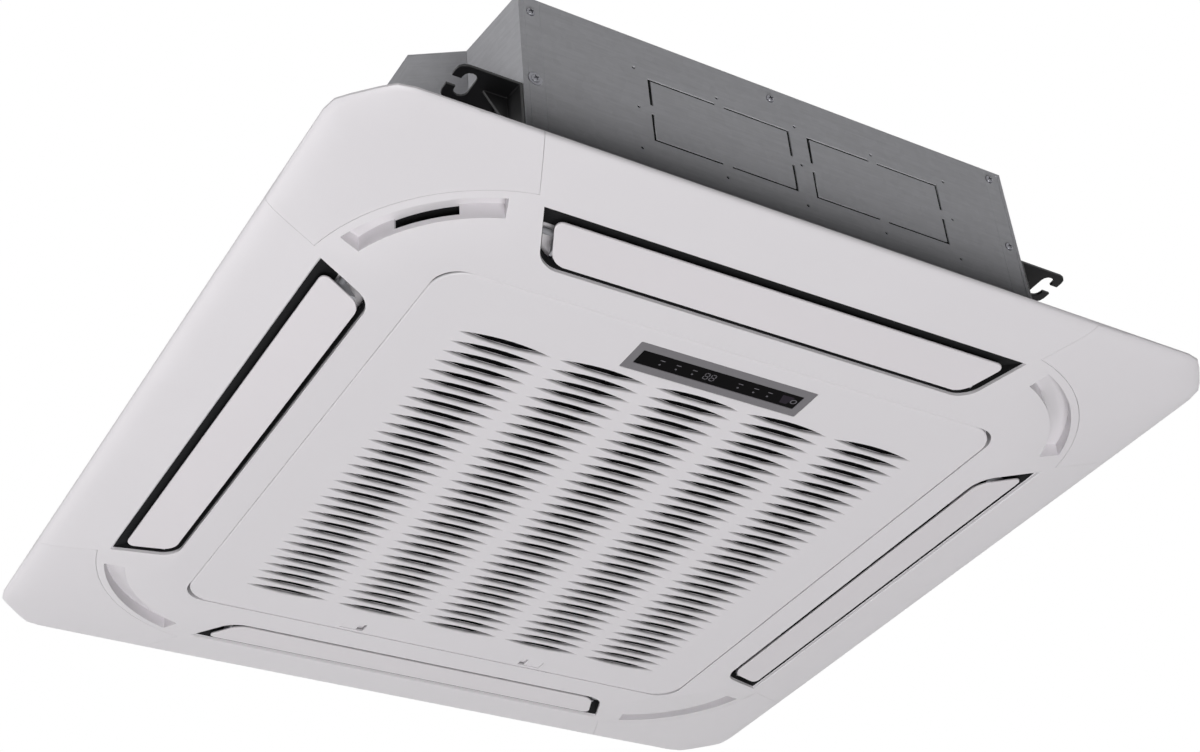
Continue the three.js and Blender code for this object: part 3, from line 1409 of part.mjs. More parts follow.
function hangingHook(mirrorX, mirrorY) {
  const front = -rodY - hookArmFront;
  const rear = -rodY + hookArmRear;
  const seatAt = (y, away) => [notchWallX(y) - seatGap - away, y];
  const flange = points([seatAt(front, 0), seatAt(front, hookPlate), seatAt(rear, hookPlate), seatAt(rear, 0)]);
  const tipX = -rodX - hookTip;
  const plate = rounded(points([seatAt(front, 0), [tipX, front], [tipX, rear], seatAt(rear, 0)]),
    [0, hookRadius, hookRadius, 0]);
  const slot = stadiumAlongY(-rodX, -rodY - hookSlotHalf, -rodY + hookSlotHalf, hookSlotRadius);
  const entry = rectangle(tipX - overrun, -rodX, -rodY - hookEntry / 2, -rodY + hookEntry / 2);
  const rootX = notchWallX(-rodY) - seatGap - hookPlate / 2;
  const gusset = points([
    [rootX, hookZ + hookPlate / 2], [rootX - gussetReach, hookZ + hookPlate / 2], [rootX, hookZ - gussetDrop],
  ]);
  const bodies = [
    prism(flange, hookZ - hookDrop, hookZ + hookPlate),
    prism(plate, hookZ, hookZ + hookPlate),
    prismAlongY(gusset, -rodY - hookPlate / 2, -rodY + hookPlate / 2),
  ].map((geometry) => solid(geometry.scale(mirrorX, mirrorY, 1)));
  const holes = [slot, entry].map((outline) => {
    return solid(prism(outline, hookZ - overrun, hookZ + hookPlate + overrun).scale(mirrorX, mirrorY, 1));
  });
  return cut(joined(bodies), holes);
}

// The whole unit
const unit = new THREE.Group();
const sides = ['front', 'right', 'rear', 'left'];
const corners = ['rear_right', 'rear_left', 'front_left', 'front_right'];

unit.add(
  meshOf('casing_top', topPlate(), galvanised),
  meshOf('casing_front', frontWall(), galvanised),
  meshOf('casing_rear', rearWall(), galvanised),
  meshOf('casing_left', sideWall(-1), galvanised),
  meshOf('casing_right', sideWall(1), galvanised),
  meshOf('foam_liner', foamLiner(), foam),
  meshOf('drain_pan', drainPan(), foam),
  meshOf('panel_gasket', panelGasket(), greyFoam),
  meshOf('coil', coil(), finStock),
  meshOf('tube_plate_rear', tubePlate(false), copper),
  meshOf('tube_plate_right', tubePlate(true), copper),
  meshOf('coil_baffle', coilBaffle(), galvanised),
  meshOf('fan', fan(), darkPlastic),
  meshOf('fan_nut', fanNut(), brass),
  meshOf('fan_motor', fanMotor(), greyPlastic),
  meshOf('motor_bracket', motorBracket(), galvanised),
  meshOf('bell_mouth', bellMouthPlate(), darkPlastic),
  meshOf('electrical_box', electricalBox(), galvanised),
  meshOf('electrical_lid', electricalLid(), galvanised),
  meshOf('control_board', controlBoard(), greenBoard),
  meshOf('room_sensor', roomSensor(), rubber),
  meshOf('drain_pump', drainPump(), whitePlastic),
  meshOf('float', floatSwitch(), whitePlastic),
  meshOf('drain_pipe', drainPipe(), whitePlastic),
  meshOf('gas_pipe', refrigerantPipe(gasX, gasZ, gasRadius), copper),
  meshOf('liquid_pipe', refrigerantPipe(liquidX, liquidZ, liquidRadius), copper),
  meshOf('gas_nut', flareNut(gasX, gasZ, gasRadius), brass),
  meshOf('liquid_nut', flareNut(liquidX, liquidZ, liquidRadius), brass),
  meshOf('pipe_cover', pipeCover(), galvanised),
  meshOf('cable_grommet', cableGrommet(), rubber),
  meshOf('hook_front_left', hangingHook(1, 1), blackSteel),
  meshOf('hook_front_right', hangingHook(-1, 1), blackSteel),
  meshOf('hook_rear_left', hangingHook(1, -1), blackSteel),
  meshOf('hook_rear_right', hangingHook(-1, -1), blackSteel),
  meshOf('panel_frame', panelFrame(), whitePlastic),
  meshOf('intake_grille', intakeGrille(), whitePlastic),
  meshOf('filter_frame', filterFrame(), whitePlastic),
  meshOf('filter_mesh', filterMesh(), meshGrey),
  meshOf('display_bezel', displayBezel(), greyPlastic),
  meshOf('display_window', displayWindow(), blackGloss),
  meshOf('display_board', displayBoard(), greyPlastic),
  meshOf('latch_left', latch(-1), whitePlastic),
  meshOf('latch_right', latch(1), whitePlastic),
);

const cover = cornerCover();
const blade = vane();
const stepper = stepperMotor();
for (let turns = 0; turns < sides.length; turns += 1) {
  const ring = new THREE.Group();
  ring.rotation.z = turns * quarterTurn;
  ring.add(
    meshOf(`cover_${corners[turns]}`, cover, whitePlastic),
    meshOf(`vane_${sides[turns]}`, blade, whitePlastic),
    meshOf(`stepper_${sides[turns]}`, stepper, greyPlastic),
  );
  unit.add(ring);
}

export default unit;
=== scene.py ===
"""Dresses a ceiling cassette air conditioner.

It makes the fine moulded panel, the slotted grille, the vanes and the sheet-metal casing.
Sizes in the classes are in millimetres. Each finished mesh is scaled once into metres.
"""

import json
import logging
import math
from collections.abc import Callable, Iterable, Sequence
from dataclasses import dataclass, field, replace
from enum import Enum
from functools import cached_property

import bmesh
import bpy
from mathutils import Matrix, Vector


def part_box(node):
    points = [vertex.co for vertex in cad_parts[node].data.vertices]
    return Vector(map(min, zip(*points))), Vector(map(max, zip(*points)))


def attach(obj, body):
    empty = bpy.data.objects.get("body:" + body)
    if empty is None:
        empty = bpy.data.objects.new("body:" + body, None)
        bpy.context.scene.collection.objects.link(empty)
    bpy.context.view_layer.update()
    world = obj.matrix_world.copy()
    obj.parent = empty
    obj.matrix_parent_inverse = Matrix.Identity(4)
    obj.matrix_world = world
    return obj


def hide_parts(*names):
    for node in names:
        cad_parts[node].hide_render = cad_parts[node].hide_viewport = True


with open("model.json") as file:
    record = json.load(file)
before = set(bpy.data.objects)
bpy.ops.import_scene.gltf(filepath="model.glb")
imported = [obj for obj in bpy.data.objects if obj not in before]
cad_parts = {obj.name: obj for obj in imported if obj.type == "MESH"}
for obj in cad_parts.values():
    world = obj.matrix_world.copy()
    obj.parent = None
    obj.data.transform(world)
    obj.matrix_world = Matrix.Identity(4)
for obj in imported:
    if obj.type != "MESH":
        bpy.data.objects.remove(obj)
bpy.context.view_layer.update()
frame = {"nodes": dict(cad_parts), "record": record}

RECORD = frame["record"]
SLOTS = {row["node"]: row["material_slot"] for row in RECORD["subparts"]}
BODIES = {node: body for body, nodes in RECORD["behaviour"]["bodies"].items() for node in nodes}

LOG = logging.getLogger("cassette")
MM = 0.001
QUARTER = math.pi / 2
OVERRUN = 5.0  # how far a cutter reaches past what it cuts
TINY = 0.01
FACE = -26.0  # the height of the panel's face
SLOPE = 9.0 / 61.0  # how steeply the panel's flanks rise
CREASE = 34.0  # edges sharper than this many degrees are rounded
ACROSS = Matrix(((0, 0, 1, 0), (1, 0, 0, 0), (0, 1, 0, 0), (0, 0, 0, 1)))  # Z comes to lie on X
Pair = tuple[float, float]
Triple = tuple[float, float, float]
Socket = bpy.types.NodeSocket


class Turned(Enum):
    """A place that quarter turns about the panel's centre lead to."""

    @property
    def turn(self) -> float:
        """Its quarter turns as an angle, in radians."""
        return self.value * QUARTER


class Side(Turned):
    """The panel's four sides, counted from the front one."""

    FRONT = 0
    RIGHT = 1
    REAR = 2
    LEFT = 3


class Corner(Turned):
    """The panel's four corners, counted from the rear right one."""

    REAR_RIGHT = 0
    REAR_LEFT = 1
    FRONT_LEFT = 2
    FRONT_RIGHT = 3


class Cut(Enum):
    """How two closed shapes are combined."""

    REMOVE = "DIFFERENCE"
    ADD = "UNION"
    KEEP = "INTERSECT"


def sector_points(centre: Pair, radius: float, start: float, end: float, steps: int) -> list[Pair]:
    """Points along an arc.

    Args:
        centre: The arc's centre.
        radius: Its radius.
        start: The first angle, in radians.
        end: The last angle, in radians.
        steps: How many chords the arc has.

    Returns:
        The points from start to end, both included.
    """
    angles = [start + (end - start) * i / steps for i in range(steps + 1)]
    return [(centre[0] + radius * math.cos(a), centre[1] + radius * math.sin(a)) for a in angles]


class Shape:
    """A closed mesh in millimetres that mesh operators build up."""

    def __init__(self, mesh: bmesh.types.BMesh | None = None) -> None:
        """Holds the given mesh, or an empty one."""
        self.bm = mesh or bmesh.new()

    @classmethod
    def block(cls, low: Triple, high: Triple) -> "Shape":
        """A box between two corners."""
        shape = cls()
        bmesh.ops.create_cube(shape.bm, size=1.0)
        bmesh.ops.scale(shape.bm, vec=Vector(high) - Vector(low), verts=shape.bm.verts)
        return shape.move((Vector(high) + Vector(low)) / 2)

    @classmethod
    def rod(cls, radius: float, low: float, high: float, sides: int = 32) -> "Shape":
        """An upright round bar.

        Args:
            radius: The bar's radius.
            low: The height of the low end.
            high: The height of the high end.
            sides: How many sides the bar has.

        Returns:
            The bar on the Z axis.
        """
        shape = cls()
        depth = high - low
        bmesh.ops.create_cone(
            shape.bm, cap_ends=True, segments=sides, radius1=radius, radius2=radius, depth=depth
        )
        return shape.move((0, 0, (low + high) / 2))

    @classmethod
    def plate(
        cls,
        outline: Sequence[Pair],
        low: float,
        high: float,
        radii: Sequence[float] | float = 0.0,
        segments: int = 8,
    ) -> "Shape":
        """An upright prism whose corners are rounded before it is drawn up.

        Args:
            outline: The corners, anticlockwise.
            low: The lower face's height.
            high: The upper face's height.
            radii: One radius for all corners, or one for each.
            segments: How many chords a rounded corner has.

        Returns:
            The prism.
        """
        shape = cls()
        verts = [shape.bm.verts.new((x, y, low)) for x, y in outline]
        shape.bm.faces.new(verts)
        wanted = [radii] * len(outline) if isinstance(radii, (int, float)) else list(radii)
        for vert, radius in zip(verts, wanted):
            if radius:
                shape.round_corner(vert, radius, segments)
        shape.bm.faces.ensure_lookup_table()
        face = shape.bm.faces[0]
        drawn = bmesh.ops.extrude_face_region(shape.bm, geom=[face], use_keep_orig=True)
        raised = [item for item in drawn["geom"] if isinstance(item, bmesh.types.BMVert)]
        bmesh.ops.translate(shape.bm, vec=(0, 0, high - low), verts=raised)
        return shape.tidy()

    @classmethod
    def slab(cls, low: Triple, high: Triple, corner: float, segments: int = 4) -> "Shape":
        """A box between two corners, with its upright edges rounded.

        Args:
            low: The lowest corner.
            high: The highest corner.
            corner: The radius of the upright edges.
            segments: How many chords a rounded edge has.

        Returns:
            The slab.
        """
        outline = [(low[0], low[1]), (high[0], low[1]), (high[0], high[1]), (low[0], high[1])]
        return cls.plate(outline, low[2], high[2], corner, segments)

    @classmethod
    def loft(cls, rings: Sequence[Sequence[Vector]]) -> "Shape":
        """A closed body through rings, each drawn on from the one before.

        Args:
            rings: The rings, with the same number of points in the same order.

        Returns:
            The body.
        """
        shape = cls()
        face = shape.bm.faces.new([shape.bm.verts.new(p) for p in rings[0]])
        for before, after in zip(rings, rings[1:]):
            drawn = bmesh.ops.extrude_face_region(shape.bm, geom=[face, *face.edges])
            face = next(item for item in drawn["geom"] if isinstance(item, bmesh.types.BMFace))
            places = {tuple(round(c, 3) for c in p): q for p, q in zip(before, after)}
            for vert in face.verts:
                vert.co = places[tuple(round(c, 3) for c in vert.co)]
        return shape.tidy()

    @classmethod
    def arch(cls, centre: float, reach: Pair, levels: Pair, half: float, steps: int) -> "Shape":
        """A ring sector halfway between X and Y.

        Args:
            centre: The X and the Y of its upright axis.
            reach: The inner and the outer radius.
            levels: The lower and the upper height.
            half: Half the angle that it spans, in radians.
            steps: How many steps it has.

        Returns:
            The sector.
        """
        shape = cls()
        (near, far), (low, high) = reach, levels
        start = QUARTER / 2 - half
        across, along = math.cos(start), math.sin(start)
        section = [(near, low), (far, low), (far, high), (near, high)]
        rim = [(centre + r * across, centre + r * along, z) for r, z in section]
        shape.bm.faces.new([shape.bm.verts.new(point) for point in rim])
        bmesh.ops.spin(
            shape.bm,
            geom=[*shape.bm.verts, *shape.bm.edges, *shape.bm.faces],
            cent=(centre, centre, 0),
            axis=(0, 0, 1),
            angle=QUARTER - 2 * start,
            steps=steps,
        )
        return shape.tidy()

    @classmethod
    def lathe(cls, profile: Sequence[Pair], steps: int) -> "Shape":
        """A closed body of revolution.

        Args:
            profile: Radius and height pairs, anticlockwise, from the axis and back to it.
            steps: How many steps the turn has.

        Returns:
            The body on the Z axis.
        """
        shape = cls()
        verts = [shape.bm.verts.new((radius, 0, z)) for radius, z in profile]
        edges = [shape.bm.edges.new(pair) for pair in zip(verts, verts[1:])]
        bmesh.ops.spin(
            shape.bm,
            geom=[*verts, *edges],
            cent=(0, 0, 0),
            axis=(0, 0, 1),
            angle=4 * QUARTER,
            steps=steps,
            use_merge=True,
        )
        return shape.tidy()

    @classmethod
    def from_node(cls, node: str) -> "Shape":
        """A merged copy of a CAD node.

        Args:
            node: The node's name.

        Returns:
            The copy, in millimetres.
        """
        shape = cls()
        shape.bm.from_mesh(frame["nodes"][node].data)
        bmesh.ops.scale(shape.bm, vec=(1 / MM,) * 3, verts=shape.bm.verts)
        bmesh.ops.remove_doubles(shape.bm, verts=shape.bm.verts, dist=TINY)
        return shape

    def tidy(self) -> "Shape":
        """Merges doubles and points the faces outwards."""
        bmesh.ops.remove_doubles(self.bm, verts=self.bm.verts, dist=TINY / 10)
        bmesh.ops.recalc_face_normals(self.bm, faces=self.bm.faces)
        return self

    def round_corner(self, vert: bmesh.types.BMVert, radius: float, segments: int) -> None:
        """Rounds one corner of a flat outline.

        Args:
            vert: The corner.
            radius: Its new radius.
            segments: How many chords it gets.
        """
        ends = [edge.other_vert(vert).co - vert.co for edge in vert.link_edges]
        half = ends[0].angle(ends[1]) / 2
        bmesh.ops.bevel(
            self.bm,
            geom=[vert],
            offset=radius / math.tan(half),
            affect="VERTICES",
            segments=segments,
            profile=0.5,
            material=-1,
        )

    def move(self, by: Iterable[float]) -> "Shape":
        """Moves the shape."""
        bmesh.ops.translate(self.bm, vec=Vector(by), verts=self.bm.verts)
        return self

    def turn(self, angle: float, axis: str = "Z") -> "Shape":
        """Turns the shape about an axis through the origin."""
        matrix = Matrix.Rotation(angle, 3, axis)
        bmesh.ops.rotate(self.bm, cent=(0, 0, 0), matrix=matrix, verts=self.bm.verts)
        return self

    def transform(self, matrix: Matrix) -> "Shape":
        """Sends every point through a matrix."""
        bmesh.ops.transform(self.bm, matrix=matrix, verts=self.bm.verts)
        return self

    def scale(self, by: Triple) -> "Shape":
        """Scales the shape about the origin, and keeps its faces outwards if a sign flips."""
        bmesh.ops.scale(self.bm, vec=by, verts=self.bm.verts)
        return self.tidy()

    def copy(self) -> "Shape":
        """A separate copy."""
        return Shape(self.bm.copy())

    def gather(self, others: Iterable["Shape"]) -> "Shape":
        """Takes in other shapes that stay apart from this one.

        Args:
            others: The other shapes.

        Returns:
            This shape, changed.
        """
        for other in others:
            mesh = bpy.data.meshes.new("gathered")
            other.bm.to_mesh(mesh)
            self.bm.from_mesh(mesh)
            bpy.data.meshes.remove(mesh)
        return self

    def combine(self, other: "Shape", cut: Cut) -> "Shape":
        """Adds, removes or keeps what another closed shape covers.

        Args:
            other: The closed shape that is used as the tool.
            cut: What is done with it.

        Returns:
            This shape, changed.
        """
        base_object = loose_object("base", self)
        tool_object = loose_object("tool", other)
        step = base_object.modifiers.new("combine", "BOOLEAN")
        step.operation = cut.value
        step.solver = "MANIFOLD"
        step.object = tool_object
        graph = bpy.context.evaluated_depsgraph_get()
        result = bpy.data.meshes.new_from_object(base_object.evaluated_get(graph))
        self.bm.clear()
        self.bm.from_mesh(result)
        for item in (base_object, tool_object):
            mesh = item.data
            bpy.data.objects.remove(item)
            bpy.data.meshes.remove(mesh)
        bpy.data.meshes.remove(result)
        return self

    def minus(self, *tools: "Shape") -> "Shape":
        """Removes what the tools cover.

        Args:
            *tools: Closed shapes, used one after the other.

        Returns:
            This shape, changed.
        """
        for tool in tools:
            self.combine(tool, Cut.REMOVE)
        return self

    def plus(self, *others: "Shape") -> "Shape":
        """Joins other shapes on.

        Args:
            *others: Closed shapes, joined one after the other.

        Returns:
            This shape, changed.
        """
        for other in others:
            self.combine(other, Cut.ADD)
        return self

    def within(self, other: "Shape") -> "Shape":
        """Keeps what another shape covers."""
        return self.combine(other, Cut.KEEP)

    def dissolve(self, degrees: float) -> None:
        """Joins neighbouring faces whose planes differ by less than an angle."""
        bm, limit = self.bm, math.radians(degrees)
        bmesh.ops.dissolve_limit(
            bm, angle_limit=limit, verts=bm.verts, edges=bm.edges, delimit={"NORMAL"}
        )

    def flatten(self) -> "Shape":
        """Joins the faces that lie in one plane."""
        self.dissolve(0.5)
        bmesh.ops.triangulate(self.bm, faces=[f for f in self.bm.faces if len(f.verts) > 4])
        return self

    def soften(self, width: float, segments: int = 2) -> "Shape":
        """Bevels every sharp edge.

        Args:
            width: The bevel's width.
            segments: How many faces the bevel has across.

        Returns:
            This shape, changed.
        """
        bm, limit = self.bm, math.radians(CREASE)
        self.dissolve(1.0)
        bmesh.ops.dissolve_degenerate(bm, dist=width / 4, edges=bm.edges)
        sharp = [e for e in bm.edges if len(e.link_faces) == 2 and e.calc_face_angle(0) > limit]
        bmesh.ops.bevel(
            bm,
            geom=sharp,
            offset=width,
            offset_type="OFFSET",
            affect="EDGES",
            segments=segments,
            profile=0.5,
            material=-1,
            clamp_overlap=True,
        )
        return self


def loose_object(name: str, shape: Shape) -> bpy.types.Object:
    """A scene object that holds a copy of a shape.

    Args:
        name: The object's name.
        shape: The shape, which stays in millimetres.

    Returns:
        The object.
    """
    mesh = bpy.data.meshes.new(name)
    shape.bm.to_mesh(mesh)
    item = bpy.data.objects.new(name, mesh)
    bpy.context.scene.collection.objects.link(item)
    return item


class Tree:
    """The nodes of a material or of the world, wired by short calls."""

    def __init__(self, owner: bpy.types.Material | bpy.types.World) -> None:
        """Takes over the owner's nodes."""
        owner.use_nodes = True
        self.nodes = owner.node_tree.nodes
        self.links = owner.node_tree.links

    @cached_property
    def shader(self) -> bpy.types.Node:
        """The material's shader."""
        return self.nodes["Principled BSDF"]

    @cached_property
    def place(self) -> Socket:
        """The object coordinates."""
        return self.add("ShaderNodeTexCoord").outputs["Object"]

    def add(
        self, kind: str, feeds: dict[str | int, object] | None = None, **settings: object
    ) -> bpy.types.Node:
        """Adds a node.

        Args:
            kind: The node's type.
            feeds: What goes into its inputs: a value, or a socket to link.
            **settings: Its properties.

        Returns:
            The node.
        """
        node = self.nodes.new(kind)
        for key, value in settings.items():
            setattr(node, key, value)
        for key, value in (feeds or {}).items():
            if isinstance(value, Socket):
                self.links.new(value, node.inputs[key])
            else:
                node.inputs[key].default_value = value
        return node

    def compute(self, operation: str, *values: object, clamp: bool = False) -> Socket:
        """What an operation makes of values and sockets."""
        feeds = dict(enumerate(values))
        return self.add("ShaderNodeMath", feeds, operation=operation, use_clamp=clamp).outputs[0]

    def noise(self, scale: float, detail: float = 2.0, stretch: Triple = (1, 1, 1)) -> Socket:
        """Noise on object coordinates.

        Args:
            scale: The pattern's scale per metre.
            detail: How many octaves it has.
            stretch: How much each axis is scaled before.

        Returns:
            The noise's value.
        """
        mapping = self.add("ShaderNodeMapping", {"Scale": stretch, "Vector": self.place})
        feeds = {"Scale": scale, "Detail": detail, "Vector": mapping.outputs["Vector"]}
        return self.add("ShaderNodeTexNoise", feeds).outputs["Fac"]

    def cells(self, scale: float, output: str = "Distance") -> Socket:
        """Cells on object coordinates, as the distance to their middles or a colour for each."""
        feeds = {"Scale": scale, "Vector": self.place}
        return self.add("ShaderNodeTexVoronoi", feeds, feature="F1").outputs[output]

    def lines(self, scale: float, operation: str) -> Socket:
        """Fine lines across X and across Y.

        Args:
            scale: The lines' scale per metre.
            operation: How the two sets are joined.

        Returns:
            The pattern's value.
        """
        feeds = {"Scale": scale, "Vector": self.place}
        waves = [self.add("ShaderNodeTexWave", feeds, bands_direction=axis) for axis in "XY"]
        return self.compute(operation, *(wave.outputs["Fac"] for wave in waves))

    def height(self, low: float, high: float) -> Socket:
        """A value that grows smoothly from 0 to 1 between two heights.

        Args:
            low: The lower height, in millimetres.
            high: The upper height, in millimetres.

        Returns:
            The value.
        """
        z = self.add("ShaderNodeSeparateXYZ", {0: self.place}).outputs["Z"]
        feeds = {"Value": z, "From Min": low * MM, "From Max": high * MM}
        node = self.add("ShaderNodeMapRange", feeds, interpolation_type="SMOOTHSTEP")
        return node.outputs["Result"]

    def spread(self, value: Socket, low: float, high: float) -> Socket:
        """Widens the middle of a noise's range to low..high."""
        feeds = {"Value": value, "From Min": 0.3, "From Max": 0.7, "To Min": low, "To Max": high}
        return self.add("ShaderNodeMapRange", feeds).outputs["Result"]

    def blend(self, value: Socket, first: Triple, second: Triple) -> Socket:
        """Blends two linear colours by a value."""
        feeds = {0: value, 6: (*first, 1), 7: (*second, 1)}
        return self.add("ShaderNodeMix", feeds, data_type="RGBA").outputs[2]

    def tint(self, value: Socket, first: Triple, second: Triple) -> None:
        """Gives the surface a blend of two linear colours."""
        self.links.new(self.blend(value, first, second), self.shader.inputs["Base Color"])

    def bump(self, height: Socket, distance: float, strength: float = 1.0) -> None:
        """Adds a bump to the surface, on top of any earlier one.

        Args:
            height: The pattern.
            distance: The bump's height in metres.
            strength: How much of it shows.
        """
        feeds = {"Height": height, "Distance": distance, "Strength": strength}
        node = self.add("ShaderNodeBump", feeds)
        normal = self.shader.inputs["Normal"]
        if normal.links:
            self.links.new(normal.links[0].from_socket, node.inputs["Normal"])
        self.links.new(node.outputs["Normal"], normal)

    def seen(self) -> Socket:
        """A value that is 1 where the backdrop is seen, directly, in metal or through glass."""
        path = self.add("ShaderNodeLightPath").outputs
        second = self.compute("MAXIMUM", path["Is Glossy Ray"], path["Is Transmission Ray"])
        return self.compute("MAXIMUM", path["Is Camera Ray"], second)


def linear(colour: Triple) -> Triple:
    """Turns a screen colour into a linear one."""
    return tuple(c / 12.92 if c <= 0.04045 else ((c + 0.055) / 1.055) ** 2.4 for c in colour)


def shade(colour: Triple, factor: float) -> Triple:
    """A darker or lighter form of a linear colour."""
    return tuple(min(1.0, c * factor) for c in colour)


@dataclass(frozen=True)
class Finish:
    """A surface finish: its colour, its gloss, and the grain and mottling of the real one."""

    name: str
    slot: str
    colour: Triple
    roughness: float = 0.5
    metal: float = 0.0
    variation: float = 0.03
    mottle_scale: float = 9.0
    grain_scale: float = 1400.0
    grain_depth: float = 0.00003
    specular: float = 0.5
    extra: Callable[[Tree, Triple], None] | None = None

    def material(self) -> bpy.types.Material:
        """Makes the material once and returns it."""
        known = bpy.data.materials.get(self.name)
        if known:
            return known
        material = bpy.data.materials.new(self.name)
        tree = Tree(material)
        base = linear(self.colour)
        mottle = tree.noise(self.mottle_scale, 3.0)
        tree.tint(mottle, shade(base, 1 - self.variation), shade(base, 1 + self.variation))
        patches = tree.noise(self.mottle_scale * 6, 4.0)
        gloss = tree.spread(patches, self.roughness - 0.04, self.roughness + 0.04)
        tree.links.new(gloss, tree.shader.inputs["Roughness"])
        tree.shader.inputs["Metallic"].default_value = self.metal
        tree.shader.inputs["Specular IOR Level"].default_value = self.specular
        if self.grain_depth:
            tree.bump(tree.noise(self.grain_scale, 2.0), self.grain_depth)
        if self.extra:
            self.extra(tree, base)
        return material


# Each of the next functions takes a material's tree and its linear colour, and adds a pattern or
# painted shade.


def spangle(tree: Tree, base: Triple) -> None:
    """Zinc spangle: faint crystals a few millimetres wide and long rolling streaks."""
    streaks = tree.noise(30.0, 2.0, (1, 1, 12))
    mixed = tree.compute("MULTIPLY_ADD", tree.cells(140.0, "Color"), 0.35, streaks)
    tree.tint(mixed, shade(base, 0.9), shade(base, 1.12))


def spangle_with_painted_shadow(tree: Tree, base: Triple) -> None:
    """Zinc spangle under painted shadow that deepens towards the panel, where the panel shades the
    wall.
    """
    spangle(tree, base)
    colour = tree.shader.inputs["Base Color"]
    # painted shadow: the zinc is darkened to about half near the panel and is clear from 120 mm up
    panel_shadow = tree.blend(tree.height(20.0, 120.0), (0.52,) * 3, (1.0,) * 3)
    feeds = {0: 1.0, 6: colour.links[0].from_socket, 7: panel_shadow}
    shadowed = tree.add("ShaderNodeMix", feeds, data_type="RGBA", blend_type="MULTIPLY")
    tree.links.new(shadowed.outputs[2], colour)


def beads(tree: Tree, base: Triple) -> None:
    """Moulded foam beads about four millimetres wide."""
    tree.bump(tree.cells(260.0), 0.0006, 0.7)


def fins(tree: Tree, base: Triple) -> None:
    """Closely stacked upright fins, with painted shade in the gaps between them as fine dark
    lines.
    """
    both = tree.lines(95.0, "MULTIPLY")
    tree.tint(both, shade(base, 0.3), base)
    tree.bump(both, 0.0008)


def net(tree: Tree, base: Triple) -> None:
    """A woven net of fine threads."""
    both = tree.lines(260.0, "MAXIMUM")
    tree.tint(both, shade(base, 0.35), shade(base, 1.5))
    tree.bump(both, 0.0003)


def drawn(tree: Tree, base: Triple) -> None:
    """Faint oxide bloom on drawn copper and turned brass."""
    tree.tint(tree.spread(tree.noise(60.0, 5.0), 0.0, 1.0), shade(base, 0.6), base)


def tracks(tree: Tree, base: Triple) -> None:
    """Printed tracks on a circuit board, as a shade of the same green."""
    runs = tree.spread(tree.noise(220.0, 0.0, (1, 6, 1)), 0.0, 1.0)
    tree.tint(runs, shade(base, 0.7), shade(base, 1.25))


def slot_painted_shade(tree: Tree, base: Triple) -> None:
    """Painted shade on the slots' walls, darker the deeper it lies, and none on the plate's back.
    """
    deep, back = tree.height(-25.7, -22.4), tree.height(-22.25, -22.0)
    # painted shade: inside the slots the white falls to a fifth of itself towards the plate's back
    tree.tint(tree.compute("SUBTRACT", deep, back, clamp=True), base, shade(base, 0.2))


MOULDED = (0.86, 0.847, 0.86)
WHITE = Finish(
    "white_moulding", "white_plastic", MOULDED, 0.42, variation=0.012, grain_scale=2600.0
)
WHITE_DEEP = Finish(
    "white_inner_moulding", "white_plastic", (0.84, 0.84, 0.85), 0.55, variation=0.02
)
# The grille's white carries painted shade inside its slots.
GRILLE_WHITE = replace(WHITE, name="white_grille", variation=0.03, extra=slot_painted_shade)
VANE_WHITE = replace(WHITE, name="white_vane", colour=(0.855, 0.838, 0.852), roughness=0.38)
GREY = Finish("grey_moulding", "grey_plastic", (0.55, 0.55, 0.565), 0.48)
BEZEL = Finish("bezel_grey", "grey_plastic", (0.42, 0.41, 0.425), 0.45)
BLACK_GLOSS = Finish(
    "black_window", "black_gloss", (0.035, 0.03, 0.035), 0.1, grain_depth=0.0, specular=0.02
)
SMOKED = replace(BLACK_GLOSS, name="smoked_receiver", colour=(0.17, 0.15, 0.18), roughness=0.2)
DIGITS = replace(
    BLACK_GLOSS, name="unlit_digits", colour=(0.4, 0.39, 0.41), roughness=0.35, specular=0.05
)
DARK = Finish("dark_moulding", "dark_plastic", (0.17, 0.17, 0.18), 0.55)
BOARD = Finish("printed_board", "circuit_board", (0.17, 0.35, 0.23), 0.5, extra=tracks)
ZINC = Finish(
    "zinc_sheet",
    "galvanised",
    (0.73, 0.73, 0.745),
    mottle_scale=5.0,
    grain_scale=900.0,
    specular=0.04,
    extra=spangle,
)
# The front wall's zinc carries painted shadow that darkens it towards the panel.
ZINC_FRONT = replace(ZINC, name="zinc_front_sheet", extra=spangle_with_painted_shadow)
STEEL_BLACK = Finish("painted_black_steel", "black_steel", (0.11, 0.11, 0.115), 0.4, 0.3, 0.08)
SCREW_STEEL = Finish("screw_steel", "galvanised", (0.5, 0.5, 0.52), 0.3, 0.9, 0.05)
FOAM = Finish("bead_foam", "foam", (0.12, 0.12, 0.125), 0.85, specular=0.1, extra=beads)
GASKET = Finish(
    "open_cell_gasket",
    "gasket_foam",
    (0.29, 0.29, 0.3),
    0.95,
    grain_scale=900.0,
    grain_depth=0.0003,
)
FINS = Finish("coil_fins", "fin_stock", (0.72, 0.735, 0.75), 0.4, 0.8, extra=fins)
COPPER = Finish("copper_tube", "copper", (0.69, 0.42, 0.28), 0.32, 0.95, extra=drawn)
BRASS = Finish("brass_turning", "brass", (0.72, 0.6, 0.33), 0.3, 0.95, extra=drawn)
NET = Finish(
    "woven_filter_net", "filter_net", (0.1, 0.1, 0.105), 0.85, specular=0.03, extra=net
)
FILTER_DARK = Finish(
    "dark_filter_frame", "dark_plastic", (0.09, 0.09, 0.095), 0.8, specular=0.03
)
RUBBER = Finish("moulded_rubber", "black_rubber", (0.13, 0.13, 0.13), 0.85, grain_depth=0.0001)
FLOOR = Finish("floor_paint", "", (0.97, 0.97, 0.97), 0.9, variation=0.0, grain_depth=0.0)

